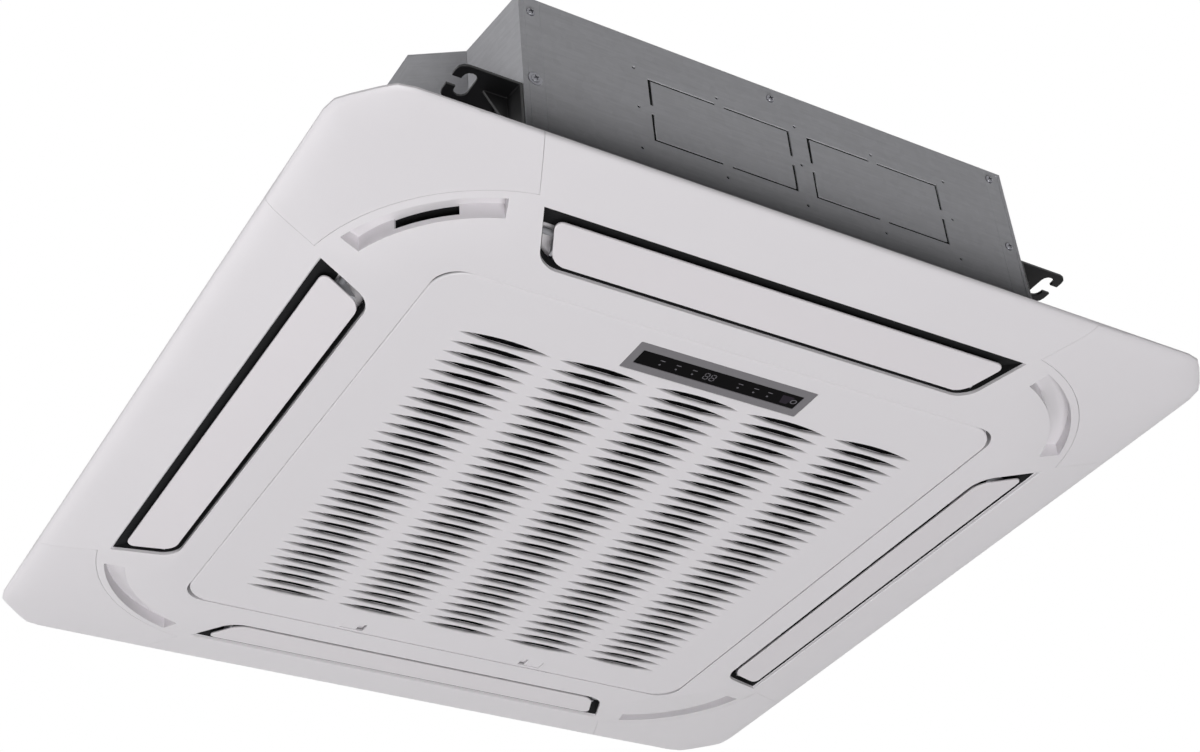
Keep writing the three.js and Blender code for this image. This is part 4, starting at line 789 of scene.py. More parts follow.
NODE_FINISHES = {
    finish.slot: finish
    for finish in (
        WHITE_DEEP, GREY, BLACK_GLOSS, DARK, BOARD, ZINC, STEEL_BLACK, FOAM, GASKET, FINS,
        COPPER, BRASS, NET, RUBBER,
    )
}


def stack(levels: Sequence[tuple[Sequence[Pair], float]]) -> Shape:
    """A closed body through outlines at their own heights."""
    return Shape.loft([[Vector((x, y, z)) for x, y in outline] for outline, z in levels])


def set_down(
    shape: Shape,
    name: str,
    finish: Finish,
    body: str,
    replaces: Sequence[str] = (),
    smooth_angle: float = 32.0,
) -> bpy.types.Object:
    """Makes a shape a finished piece of the object.

    Args:
        shape: The shape, in millimetres, in the frame's place.
        name: The piece's name.
        finish: Its finish.
        body: The CAD body that it moves with.
        replaces: The CAD nodes that it stands for.
        smooth_angle: Edges flatter than this many degrees are shaded smooth.

    Returns:
        The piece.
    """
    bmesh.ops.scale(shape.bm, vec=(MM,) * 3, verts=shape.bm.verts)
    for face in shape.bm.faces:
        face.smooth = True
    mesh = bpy.data.meshes.new(name)
    shape.bm.to_mesh(mesh)
    shape.bm.free()
    mesh.set_sharp_from_angle(angle=math.radians(smooth_angle))
    mesh.materials.append(finish.material())
    piece = bpy.data.objects.new(name, mesh)
    bpy.context.scene.collection.objects.link(piece)
    even = piece.modifiers.new("even_shading", "WEIGHTED_NORMAL")
    even.keep_sharp = True
    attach(piece, body)
    if replaces:
        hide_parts(*replaces)
    LOG.info("%s: %d faces on %s", name, len(mesh.polygons), body)
    return piece


@dataclass
class PanelForm:
    """The panel's outer form: a flat face, sloped flanks, and a rolled rim with cut corners."""

    half: float = 475.0
    skin: float = 3.0
    corner_leg: float = 42.0
    arc_centre: float = 239.0
    flat_reach: float = 107.0
    crease_reach: float = 183.0
    flank_rise: float = 18.5
    rim_rise: float = 24.0
    roll_power: float = 6.0
    corner_steps: int = 36
    blend_power: float = 90.0
    rim_shares: tuple[float, ...] = (0.2, 0.4, 0.55, 0.68, 0.79, 0.87, 0.925, 0.96, 0.985, 1.0)

    def rim(self, angle: float) -> float:
        """How far the rim is from a corner's centre, with the cut corner's ends eased.

        Args:
            angle: The direction from the corner's centre, in radians.

        Returns:
            The distance.
        """
        side = self.half - self.arc_centre
        straight = max(math.cos(angle), math.sin(angle)) / side
        across = (math.cos(angle) + math.sin(angle)) / (2 * side - self.corner_leg)
        power = self.blend_power
        return (straight**power + across**power) ** (-1 / power)

    def ring(self, reach: float, share: float, inset: float, z: float) -> list[Vector]:
        """One level ring round the panel.

        Args:
            reach: The ring's radius round the corner centres where the share is 0.
            share: How far the ring has gone from there to the rim.
            inset: How far the rim is moved inwards.
            z: The ring's height.

        Returns:
            The ring's points, anticlockwise.
        """
        ring, centre = [], self.arc_centre
        for corner in Corner:
            for step in range(self.corner_steps + 1):
                angle = QUARTER * step / self.corner_steps
                radius = reach + (self.rim(angle) - inset - reach) * share
                across, along = radius * math.cos(angle), radius * math.sin(angle)
                point = Vector((centre + across, centre + along, z))
                point.rotate(Matrix.Rotation(corner.turn, 3, "Z"))
                ring.append(point)
        return ring

    def rise(self, share: float) -> float:
        """How far the skin has risen from the face.

        Args:
            share: The share of the way from the crease to the rim.

        Returns:
            The rise.
        """
        crease = (self.crease_reach - self.flat_reach) * SLOPE
        roll = 1 - math.sqrt(max(0.0, 1 - share**self.roll_power))
        flank = (self.flank_rise - crease) * share
        return crease + flank + (self.rim_rise - self.flank_rise) * roll

    def body(self, inset: float) -> Shape:
        """The whole form as a closed body.

        Args:
            inset: How far it is moved inwards. It then reaches past the ceiling.

        Returns:
            The body.
        """
        low = FACE + inset
        top = inset + OVERRUN if inset else 0.0
        rings = [
            self.ring(self.flat_reach, 0, inset, low),
            self.ring(self.crease_reach, 0, inset, low + self.rise(0)),
        ]
        rings += [
            self.ring(self.crease_reach, s, inset, low + self.rise(s)) for s in self.rim_shares
        ]
        rings.append(self.ring(self.crease_reach, 1, inset, top))
        return Shape.loft(rings)

    def shell(self) -> Shape:
        """The skin alone, open at the ceiling."""
        return self.body(0).minus(self.body(self.skin))


@dataclass
class Outlet:
    """An air outlet: a mouth that flares towards the rim, and a duct up through the panel."""

    inner: float = 346.0
    outer: float = 407.0
    half_inner: float = 237.5
    half_outer: float = 265.5
    corner: float = 27.0
    wall: float = 2.5
    neck: float = 12.0
    top_inner: float = 324.0
    top_outer: float = 372.0
    top: float = -0.5
    roof: float = 2.5
    mouth_half: float = 158.0
    lip_radius: float = 3.0
    lip_steps: int = 5
    steps: int = 8

    def half_at(self, reach: float) -> float:
        """Half the mouth's length at a distance from the panel's centre."""
        flare = (self.half_outer - self.half_inner) / (self.outer - self.inner)
        return self.half_inner + (reach - self.inner) * flare

    def outline(self, inner: float, outer: float, grow: float) -> list[Pair]:
        """The front outlet's outline, anticlockwise, with its inner corners rounded.

        Args:
            inner: Where its inner side lies.
            outer: Where its outer side lies.
            grow: How far every side is moved outwards.

        Returns:
            The outline's points.
        """
        near, far = self.half_at(inner) + grow, self.half_at(outer) + grow
        front, back = -outer - grow, -inner + grow
        ends = [(-far, front), (far, front), (near, back), (-near, back)]
        flat = Shape.plate(ends, 0, 1, (0, 0, self.corner, self.corner), self.steps)
        flat.bm.faces.ensure_lookup_table()
        base = min(flat.bm.faces, key=lambda f: f.calc_center_median().z)
        return [(v.co.x, v.co.y) for v in base.verts]

    def duct(self, grow: float, low: float, high: float) -> Shape:
        """The duct's space, or its outside if it is grown by the wall.

        Args:
            grow: How far its sides are moved outwards.
            low: Its lower end.
            high: Its upper end.

        Returns:
            The space.
        """
        lower = self.outline(self.inner, self.outer, grow)
        upper = self.outline(self.top_inner, self.top_outer, grow)
        levels = [(lower, low), (lower, FACE + self.neck), (upper, self.top)]
        if high > self.top:
            levels.append((upper, high))
        return stack(levels)

    def lip(self) -> Shape:
        """The cutter that rounds the mouth's edge on the rim's side."""
        edge = FACE + (self.outer - self.inner) * SLOPE
        inner = (self.inner + self.outer) / 2
        radius = self.lip_radius
        arc = [(radius, FACE - OVERRUN)]
        for step in range(self.lip_steps + 1):
            angle = QUARTER * step / self.lip_steps
            arc.append((radius * (1 - math.sin(angle)), edge + radius * (1 - math.cos(angle))))
        return stack([(self.outline(inner, self.outer + out, -TINY), z) for out, z in arc])


@dataclass
class Panel:
    """The moulded frame round the grille, and the four corner covers."""

    form: PanelForm = field(default_factory=PanelForm)
    outlet: Outlet = field(default_factory=Outlet)
    wall: float = 2.5
    window_half: float = 312.8
    window_radius: float = 26.0
    ledge_half: float = 300.0
    ledge_radius: float = 30.0
    ledge_top: float = -3.0
    ledge: float = 2.0
    slot_inner: float = 153.0
    slot_outer: float = 175.0
    slot_half_angle: float = math.radians(25.5)
    mouth_half_angle: float = math.radians(11.0)
    mouth_sill: float = 12.0
    slot_top: float = -0.5
    slot_floor: float = 2.0
    seam_start: float = 276.0
    seam_end: float = 302.0
    cover_gap: float = 0.4
    cover_lip: float = 2.0
    cover_sink: float = 0.3
    tray_top: float = -1.5
    tray_roof: float = 2.5
    tray_margin: float = 6.0
    fixing_radius: float = 14.0
    fixing_reach: float = 232.0
    pivot_reach: float = 373.5
    pivot_z: float = -9.0
    boss_radius: float = 7.0
    boss_end: float = 258.0
    arm_face: float = 235.0
    bore_radius: float = 3.5
    arc_steps: int = 28
    lip_radius: float = 0.5
    keeper_x: float = 113.5
    keeper_half: float = 14.0
    keeper_depth: float = 1.4
    keeper_low: float = -22.0
    keeper_high: float = -16.2
    cradle_x: float = 180.0
    cradle_half: float = 8.0
    cradle_axis: Pair = (-308.5, -22.5)
    cradle_inner: float = 4.6
    cradle_outer: float = 7.0
    cradle_from: float = math.radians(30.0)
    cradle_to: float = math.radians(180.0)
    cradle_steps: int = 16

    def around(self, shape: Shape) -> list[Shape]:
        """The shape and its three quarter turns."""
        return [shape.copy().turn(side.turn) for side in Side]

    def cover_outline(self, gap: float) -> list[Pair]:
        """The corner that a cover fills: outside an arc and between two seams.

        Args:
            gap: How far its sides are moved inwards.

        Returns:
            The outline's points, anticlockwise.
        """
        centre = self.form.arc_centre
        reach = self.form.crease_reach
        start = math.asin((self.seam_start + gap - centre) / (reach + gap))
        foot = centre + math.sqrt(reach**2 - (self.seam_start - centre) ** 2)
        slope = (self.seam_end - self.seam_start) / (self.form.half - foot)
        far = self.form.half + OVERRUN
        seam = self.seam_end + gap + OVERRUN * slope
        bow = sector_points((centre, centre), reach + gap, start, QUARTER - start, self.arc_steps)
        return [*bow, (seam, far), (far, far), (far, seam)]

    def cover_region(self, gap: float, low: float, high: float) -> Shape:
        """The upright space that a corner cover fills."""
        return Shape.plate(self.cover_outline(gap), low, high)

    def slot(self, grow: float, low: float, high: float) -> Shape:
        """The curved slot in a corner, or its outside if it is grown by the wall.

        Args:
            grow: How far its sides are moved outwards.
            low: Its lower end.
            high: Its upper end.

        Returns:
            The slot's space.
        """
        reach = (self.slot_inner - grow, self.slot_outer + grow)
        half = self.slot_half_angle + grow / self.slot_outer
        return Shape.arch(self.form.arc_centre, reach, (low, high), half, self.arc_steps)

    def mouth(self) -> Shape:
        """The air mouth through a corner slot's inner wall."""
        reach = (self.slot_inner - self.wall - OVERRUN, self.slot_inner + OVERRUN)
        levels = (FACE + self.mouth_sill, self.slot_top - self.slot_floor)
        half, steps = self.mouth_half_angle, self.arc_steps // 2
        return Shape.arch(self.form.arc_centre, reach, levels, half, steps)

    def window(self, half: float, radius: float, low: float, high: float) -> Shape:
        """A rounded square prism on the panel's centre."""
        return Shape.slab((-half, -half, low), (half, half, high), radius, self.arc_steps // 3)

    def bearings(self, radius: float, low: float, high: float) -> list[Shape]:
        """The vane pins' bosses or bores in the ducts' end walls.

        Args:
            radius: Their radius.
            low: Where they begin along the pins.
            high: Where they end along the pins.

        Returns:
            The eight shapes.
        """
        shapes = []
        for sign in (-1, 1):
            rod = Shape.rod(radius, low, high).turn(QUARTER * sign, "Y")
            shapes += self.around(rod.move((0, -self.pivot_reach, self.pivot_z)))
        return shapes

    def keepers(self) -> list[Shape]:
        """The cutters of the slots in the window's rear wall that the latches' tongues enter."""
        near, far = self.window_half - OVERRUN, self.window_half + self.keeper_depth
        low = (-self.keeper_half, near, self.keeper_low)
        high = (self.keeper_half, far, self.keeper_high)
        return [Shape.block(low, high).move((sign * self.keeper_x, 0, 0)) for sign in (-1, 1)]

    def cradles(self) -> list[Shape]:
        """The two curved cradles that the grille's claws turn on."""
        span = (self.cradle_from, self.cradle_to, self.cradle_steps)
        outer = sector_points(self.cradle_axis, self.cradle_outer, *span)
        inner = sector_points(self.cradle_axis, self.cradle_inner, *span)
        cradle = Shape.plate([*outer, *reversed(inner)], -self.cradle_half, self.cradle_half)
        cradle.transform(ACROSS)
        return [cradle.copy().move((sign * self.cradle_x, 0, 0)) for sign in (-1, 1)]

    def frame_moulding(self) -> Shape:
        """The frame with its outlets, corner slots, window wall, trays and bearings."""
        form, outlet, wall = self.form, self.outlet, self.wall
        under = form.body(form.skin / 2)
        low, high = FACE - OVERRUN, OVERRUN
        floor = self.slot_top - self.slot_floor
        half, radius = self.window_half, self.window_radius
        inside = self.window(half + wall, radius + wall, FACE, self.ledge_top)
        inside.plus(*self.around(outlet.duct(outlet.wall, FACE, outlet.top)))
        inside.plus(*self.around(self.slot(wall, FACE, self.slot_top)))
        inside.within(under)
        bosses = self.bearings(self.boss_radius, outlet.half_inner, self.boss_end)
        body = form.shell().plus(inside, *bosses)
        body.minus(
            self.window(half, radius, low, self.ledge_top - self.ledge),
            self.window(self.ledge_half, self.ledge_radius, low, high),
            *self.around(outlet.duct(0, low, high)),
            *self.around(outlet.lip()),
            *self.around(self.slot(0, low, floor)),
            *self.around(self.mouth()),
            *self.around(self.cover_region(0, low, high)),
            *self.bearings(self.bore_radius, self.arm_face, self.boss_end + OVERRUN),
            *self.keepers(),
        )
        return body.plus(*self.roofs(), *self.trays(under), *self.cradles()).tidy()

    def roofs(self) -> list[Shape]:
        """Roof plates over the ends of the ducts."""
        outlet = self.outlet
        roofs = []
        whole = outlet.duct(outlet.wall, FACE, outlet.top)
        for sign in (-1, 1):
            xs = sorted((sign * outlet.mouth_half, sign * (outlet.half_outer + OVERRUN)))
            low = (xs[0], -outlet.outer, outlet.top - outlet.roof)
            slab = Shape.block(low, (xs[1], -outlet.top_inner + outlet.wall, outlet.top))
            roofs += self.around(slab.within(whole.copy()))
        return roofs

    def trays(self, under: Shape) -> list[Shape]:
        """The recessed trays under the corner covers, each with a hole to the hanging bolt.

        Args:
            under: The panel's body under half its skin.

        Returns:
            The four trays.
        """
        low = self.tray_top - self.tray_roof
        wall = self.cover_region(-self.wall, FACE, self.tray_top).within(under.copy())
        wall.minus(self.cover_region(0, FACE - OVERRUN, OVERRUN))
        edge = self.form.body(self.form.skin + self.tray_margin)
        roof = self.cover_region(-self.wall / 2, low, self.tray_top).within(edge)
        place = self.form.arc_centre + self.fixing_reach * math.cos(QUARTER / 2)
        roof.minus(Shape.rod(self.fixing_radius, low - OVERRUN, OVERRUN).move((place, place, 0)))
        return self.around(wall.plus(roof))

    def cover(self) -> Shape:
        """One corner cover with the lip round its edge."""
        low = FACE - OVERRUN
        top = self.tray_top - self.tray_roof - self.cover_sink
        skin = self.form.shell().within(self.cover_region(self.cover_gap, low, OVERRUN))
        lip = self.cover_region(self.cover_gap, low, top)
        lip.minus(self.cover_region(self.cover_gap + self.cover_lip, low - OVERRUN, top + OVERRUN))
        lip.within(self.form.body(self.form.skin / 2))
        return skin.plus(lip)

    def build(self) -> None:
        """Makes and places the frame and its covers."""
        moulding = self.frame_moulding().soften(self.lip_radius)
        set_down(moulding, "moulded_frame", WHITE, "unit", ["panel_frame"])
        cover = self.cover().soften(self.lip_radius)
        for corner in Corner:
            name = f"cover_{corner.name.lower()}"
            set_down(cover.copy().turn(corner.turn), f"corner_{name}", WHITE, "unit", [name])


@dataclass
class Grille:
    """The drop-down intake grille with its columns of lens-shaped slots."""

    half: float = 312.0
    radius: float = 32.0
    corner_steps: int = 16
    plate: float = 4.0
    edge: float = 1.8
    edge_steps: int = 4
    lens_length: float = 96.0
    lens_height: float = 10.5
    lens_flare: float = 0.8
    lens_back: float = 0.7
    lens_front: float = 1.0
    lens_past: float = 0.2
    lens_steps: int = 9
    columns: int = 5
    rows: int = 32
    column_pitch: float = 105.0
    row_pitch: float = 15.94
    first_row: float = -234.7
    latch_x: float = 113.5
    latch_y: float = 300.0
    latch_half: Pair = (14.0, 7.0)
    latch_corner: float = 0.3
    latch_edge: float = 0.4
    display_at: Pair = (2.0, -271.0)
    display_half: Pair = (100.0, 21.0)
    display_corner: float = 1.5
    lap: float = 0.05
    smooth_angle: float = 28.0

    def lens(self) -> Shape:
        """One slot's cutter, flared where it leaves the face."""
        half, rise = self.lens_length / 2, self.lens_height / 2
        radius = (half**2 + rise**2) / (2 * rise)
        spread, steps, back = math.asin(half / radius), self.lens_steps, self.lens_back
        lows = (-QUARTER - spread, -QUARTER + spread)
        highs = (QUARTER - spread, QUARTER + spread)
        under = sector_points((0, radius - rise), radius, *lows, steps)
        over = sector_points((0, rise - radius), radius, *highs, steps)
        middle = [*under[:-1], *over[:-1]]

        def grown(by: float, shift: float) -> list[Pair]:
            """The lens, grown at its ends and sides and shifted down."""
            return [(x * (1 + by / half), y * (1 + by / rise) - shift) for x, y in middle]

        levels = [
            (grown(self.lens_flare, 0), FACE - self.lens_front),
            (grown(self.lens_flare, 0), FACE),
            (middle, FACE + self.lens_flare),
            (grown(back, back), FACE + self.plate + self.lens_past),
        ]
        return stack(levels)

    def slots(self) -> Shape:
        """All the slots' cutters."""
        lens = self.lens()
        cutters = []
        for column in range(self.columns):
            x = (column - (self.columns - 1) / 2) * self.column_pitch
            for row in range(self.rows):
                cutters.append(lens.copy().move((x, self.first_row + row * self.row_pitch, 0)))
        return Shape().gather(cutters)

    def hole(self, at: Pair, half: Pair, corner: float) -> Shape:
        """A rounded rectangular hole's cutter.

        Args:
            at: The hole's middle.
            half: Half its length and half its width.
            corner: The radius of its corners.

        Returns:
            The cutter.
        """
        low, high = FACE - OVERRUN, FACE + self.plate + OVERRUN
        return Shape.slab((-half[0], -half[1], low), (*half, high), corner).move((*at, 0))

    def moulding(self) -> Shape:
        """The fine face plate on the ribs, skirt and rails of the grille's back."""
        top, half = FACE + self.plate, self.half
        plate = Shape.slab((-half, -half, FACE), (half, half, top), self.radius, self.corner_steps)
        plate.soften(self.edge, self.edge_steps)
        back = Shape.from_node("intake_grille")
        reach = self.half + OVERRUN
        back.within(Shape.block((-reach, -reach, top - self.lap), (reach, reach, OVERRUN)))
        display = self.hole(self.display_at, self.display_half, self.display_corner)
        plate.minus(self.slots(), display)
        for x in (-self.latch_x, self.latch_x):
            plate.minus(self.hole((x, self.latch_y), self.latch_half, self.latch_corner))
        return plate.plus(back).tidy()

    def build(self) -> None:
        """Makes and places the grille and its latches."""
        plate, smooth = self.moulding(), self.smooth_angle
        set_down(plate, "grille_moulding", GRILLE_WHITE, "grille", ["intake_grille"], smooth)
        for name in ("latch_left", "latch_right"):
            latch = Shape.from_node(name).soften(self.latch_edge)
            set_down(latch, f"{name}_slider", WHITE, name, [name])


@dataclass
class Display:
    """The receiver and display: a grey bezel, a dark window and generic unlit marks."""

    bezel_corner: float = 1.2
    window_corner: float = 1.0
    opening_corner: float = 0.6
    edge: float = 0.5
    edge_steps: int = 3
    recess: float = 0.2
    proud: float = 0.12
    button_at: float = 85.0
    button_radius: float = 3.4
    button_wall: float = 1.1
    button_sides: int = 40
    receiver_at: float = 76.0
    receiver_half: Pair = (7.0, 6.0)
    receiver_taper: float = 0.55
    receiver_corner: float = 1.0
    digit_places: Pair = (-15.6, -8.4)
    digit_height: float = 9.0
    digit_width: float = 4.6
    digit_bar: float = 0.9
    digit_gap: float = 0.63
    icon_places: tuple[float, ...] = (-66.0, -48.0, -30.0, 22.0, 40.0, 56.0)
    icon_rise: float = 3.0
    dot_radius: float = 1.1
    dot_sides: int = 20
    dash_half: Pair = (2.6, 0.5)

    def box(self, node: str) -> tuple[Vector, Vector]:
        """A CAD node's box in millimetres."""
        low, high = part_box(node)
        return low / MM, high / MM

    def bar(self, x: float, y: float, half: Pair, z: float) -> Shape:
        """One thin raised mark on the window."""
        slab = Shape.block((-half[0], -half[1], -self.proud), (*half, self.proud))
        return slab.move((x, y, z))

    def digit(self, x: float, y: float, z: float) -> list[Shape]:
        """An unlit seven-bar digit.

        Args:
            x: Its middle's X.
            y: Its middle's Y.
            z: The window's height.

        Returns:
            The seven bars.
        """
        half, rise, bar = self.digit_width / 2, self.digit_height / 2, self.digit_bar / 2
        level, upright = (half - self.digit_gap, bar), (bar, rise / 2 - self.digit_gap)
        bars = [self.bar(x, y + step * rise, level, z) for step in (-1, 0, 1)]
        for side in (-half, half):
            bars += [self.bar(x + side, y + step, upright, z) for step in (-rise / 2, rise / 2)]
        return bars

    def bezel(self) -> Shape:
        """The frame round the window."""
        low, high = self.box("display_window")
        gap = Vector((self.recess, self.recess, OVERRUN))
        opening = Shape.slab(low - gap, high + gap, self.opening_corner)
        bezel = Shape.slab(*self.box("display_bezel"), self.bezel_corner).minus(opening)
        return bezel.soften(self.edge, self.edge_steps)

    def build(self) -> None:
        """Makes and places the bezel, the window and the marks."""
        set_down(self.bezel(), "bezel_frame", BEZEL, "grille", ["display_bezel"])
        low, high = self.box("display_window")
        window = Shape.slab(low, high, self.window_corner).soften(self.edge, self.edge_steps)
        set_down(window, "window_lens", BLACK_GLOSS, "grille", ["display_window"])
        x, y, face = (low.x + high.x) / 2, (low.y + high.y) / 2, low.z
        back, front = face - self.proud, face + self.proud
        long, wide = self.receiver_half
        short = long * self.receiver_taper
        wedge = [(-long, -wide), (long, -wide), (short, wide), (-short, wide)]
        receiver = Shape.plate(wedge, back, front, self.receiver_corner, 4)
        receiver.move((x + self.receiver_at, y, 0))
        set_down(receiver, "window_receiver", SMOKED, "grille")
        button = Shape.rod(self.button_radius, back, front, self.button_sides)
        hollow = self.button_radius - self.button_wall
        button.minus(Shape.rod(hollow, face - OVERRUN, face + OVERRUN, self.button_sides))
        marks = [button.move((x + self.button_at, y, 0))]
        for place in self.digit_places:
            marks += self.digit(x + place, y, face)
        for place in self.icon_places:
            dot = Shape.rod(self.dot_radius, back, front, self.dot_sides)
            marks.append(dot.move((x + place, y + self.icon_rise, 0)))
            marks.append(self.bar(x + place, y - self.icon_rise, self.dash_half, face))
        set_down(Shape().gather(marks), "window_marks", DIGITS, "grille")


@dataclass
class Vanes:
    """The four air vanes: a thin blade on two grey arms with pins."""

    panel: Panel
    inner: float = 352.0
    outer: float = 398.0
    half_inner: float = 228.0
    half_outer: float = 250.0
    inner_radius: float = 20.0
    outer_radius: float = 7.0
    corner_steps: int = 10
    thick: float = 2.6
    edge: float = 0.9
    edge_steps: int = 3
    arm: float = 3.0
    arm_foot: float = 14.0
    arm_head: float = 5.0
    arm_edge: float = 0.4
    head_steps: int = 12
    pin_radius: float = 3.0
    pin_end: float = 257.5
    pin_sides: int = 28

    def blade(self) -> Shape:
        """The front vane's blade, sheared to lie in the flank."""
        near, far = self.half_inner, self.half_outer
        front, back = -self.outer, -self.inner
        outline = [(-far, front), (far, front), (near, back), (-near, back)]
        radii = (self.outer_radius, self.outer_radius, self.inner_radius, self.inner_radius)
        blade = Shape.plate(outline, 0, self.thick, radii, self.corner_steps)
        lean = Matrix.Identity(4)
        lean[2][1] = -SLOPE
        lean[2][3] = FACE - SLOPE * self.panel.outlet.inner
        return blade.soften(self.edge, self.edge_steps).transform(lean)

    def foot(self, reach: float) -> Pair:
        """A point inside the blade's thickness, as a place and a height."""
        return -reach, FACE + (reach - self.panel.outlet.inner) * SLOPE + self.thick / 2

    def arms(self) -> Shape:
        """The front vane's two arms and pins."""
        reach, z, face = self.panel.pivot_reach, self.panel.pivot_z, self.panel.arm_face
        head = sector_points((-reach, z), self.arm_head, 0, 2 * QUARTER, self.head_steps)
        outline = [*head, self.foot(reach + self.arm_foot), self.foot(reach - self.arm_foot)]
        plate = Shape.plate(outline, face - self.arm, face).soften(self.arm_edge)
        pin = Shape.rod(self.pin_radius, face - self.arm / 2, self.pin_end, self.pin_sides)
        pin.turn(QUARTER, "Y").move((0, -reach, z))
        arm = plate.transform(ACROSS).plus(pin)
        return arm.gather([arm.copy().scale((-1, 1, 1))])

    def build(self) -> None:
        """Makes and places the four vanes."""
        for side in Side:
            name = f"vane_{side.name.lower()}"
            set_down(self.blade().turn(side.turn), f"{name}_blade", VANE_WHITE, name, [name])
            set_down(self.arms().turn(side.turn), f"{name}_arms", GREY, name, [name])


@dataclass
class Ducts:
    """Black foam sleeves in the outlets and behind the corner slots' mouths."""

    panel: Panel
    depth: float = 3.4
    gap: float = 0.06
    sleeve: float = 1.0
    pin_room: float = 1.0
    pocket_inner: float = 127.0
    pocket_outer: float = 150.4
    pocket_wall: float = 1.2
    pocket_lap: float = 0.1
    pocket_ends: Pair = (0.0141732, 0.002)
    pocket_steps: int = 16

    def sleeves(self) -> list[Shape]:
        """One sleeve for each outlet, set back from the face."""
        panel, outlet = self.panel, self.panel.outlet
        sleeve = outlet.duct(-self.gap, FACE, outlet.top)
        sleeve.minus(outlet.duct(-self.gap - self.sleeve, FACE - OVERRUN, OVERRUN))
        sleeve.within(panel.form.body(self.depth))
        radius, start = panel.bore_radius + self.pin_room, outlet.half_inner - OVERRUN
        sleeve.minus(*panel.bearings(radius, start, panel.boss_end))
        return panel.around(sleeve)

    def pockets(self) -> list[Shape]:
        """The pockets that the corner slots' mouths open into."""
        panel, wall, lap = self.panel, self.pocket_wall, self.pocket_lap
        low, high = FACE + panel.mouth_sill, panel.slot_top - panel.slot_floor
        near, far = self.pocket_inner, self.pocket_outer
        centre, half = panel.form.arc_centre, panel.mouth_half_angle
        thick, thin = self.pocket_ends
        outside = (centre, (near, far), (low - wall, high + wall), half + thick)
        hollow = (centre, (near + wall, far + OVERRUN), (low - lap, high + lap), half + thin)
        pocket = Shape.arch(*outside, self.pocket_steps)
        return panel.around(pocket.minus(Shape.arch(*hollow, self.pocket_steps)))

    def build(self) -> None:
        """Makes and places the sleeves and pockets."""
        for side, sleeve in zip(Side, self.sleeves()):
            set_down(sleeve, f"duct_sleeve_{side.name.lower()}", FOAM, "unit")
        for corner, pocket in zip(Corner, self.pockets()):
            set_down(pocket, f"slot_pocket_{corner.name.lower()}", FOAM, "unit")


@dataclass
class Casing:
    """The sheet-metal casing: folded walls with grooves, pilot holes and screws."""

    depth: float = 418.0
    groove_depth: float = 0.8
    fold_x: float = 262.0
    fold_width: float = 0.9
    seam_x: float = 279.0
    seam_width: float = 2.4
    low: float = 1.5
    high: float = 222.0
    pilot_radius: float = 1.9
    pilot_sides: int = 20
    pilots: tuple[Pair, ...] = (
        (-164, 184), (-72, 184), (18, 184), (110, 184), (201, 184),
        (-164, 84), (-72, 84), (18, 84), (110, 84), (201, 84),
        (-163, 135), (19, 135), (202, 135),
    )
    screws: tuple[Pair, ...] = ((-272, 206), (-272, 122), (-7, 210), (267, 212), (271, 124))
    washer_at: Pair = (-272, 122)
    rear_screws: tuple[Pair, ...] = tuple((x, z) for z in (60, 210) for x in (-240, 0, 240))
    head_radius: float = 4.4
    head_height: float = 2.6
    head_sides: int = 40
    dome: tuple[Pair, ...] = (
        (0, 0), (1, 0), (1, 0.35), (0.93, 0.62), (0.74, 0.86), (0.45, 0.97), (0, 1),
    )
    washer: tuple[Pair, ...] = ((0, 0), (7.2, 0), (7.2, 0.85), (0, 1.0))
    washer_lap: float = 0.1
    recess_length: float = 2.7
    recess_width: float = 0.75
    recess_share: float = 0.45
    recess_turn: float = 0.4
    smooth_angle: float = 25.0

    def screw(self, washer: bool) -> Shape:
        """A pan-head screw on the Z axis, with its head upwards.

        Args:
            washer: Whether a washer lies under the head.

        Returns:
            The screw's head.
        """
        radius, height = self.head_radius, self.head_height
        head = Shape.lathe([(radius * r, height * z) for r, z in self.dome], self.head_sides)
        low = (-self.recess_length, -self.recess_width, height * self.recess_share)
        arm = Shape.block(low, (self.recess_length, self.recess_width, height * 2))
        for turn in (self.recess_turn, self.recess_turn + QUARTER):
            head.minus(arm.copy().turn(turn))
        if washer:
            head.move((0, 0, self.washer_lap)).gather([Shape.lathe(self.washer, self.head_sides)])
        return head

    def on_front(self, shape: Shape, x: float, z: float) -> Shape:
        """Turns a shape from facing up to facing forwards, and sets it on the front wall."""
        return shape.turn(QUARTER, "X").move((x, -self.depth, z))

    def front_wall(self) -> Shape:
        """The front wall with its folds, seams and pilot holes."""
        wall = Shape.from_node("casing_front")
        front, back = -self.depth - OVERRUN, -self.depth + self.groove_depth
        for sign in (-1, 1):
            for x, width in ((self.fold_x, self.fold_width), (self.seam_x, self.seam_width)):
                low, high = (-width / 2, front, self.low), (width / 2, back, self.high)
                wall.minus(Shape.block(low, high).move((sign * x, 0, 0)))
        hole = Shape.rod(self.pilot_radius, -OVERRUN, OVERRUN, self.pilot_sides)
        holes = [self.on_front(hole.copy(), x, z) for x, z in self.pilots]
        return wall.minus(Shape().gather(holes)).flatten()

    def build(self) -> None:
        """Makes and places the casing's walls and fasteners."""
        wall, smooth = self.front_wall(), self.smooth_angle
        set_down(wall, "front_wall", ZINC_FRONT, "unit", ["casing_front"], smooth)
        for node in ("casing_rear", "casing_left", "casing_right", "casing_top"):
            set_down(Shape.from_node(node).flatten(), f"{node}_wall", ZINC, "unit", [node], smooth)
        heads = []
        for x, z in self.screws:
            heads.append(self.on_front(self.screw((x, z) == self.washer_at), x, z))
        for x, z in self.rear_screws:
            heads.append(self.screw(False).turn(-QUARTER, "X").move((x, self.depth, z)))
        set_down(Shape().gather(heads), "casing_screws", SCREW_STEEL, "unit")


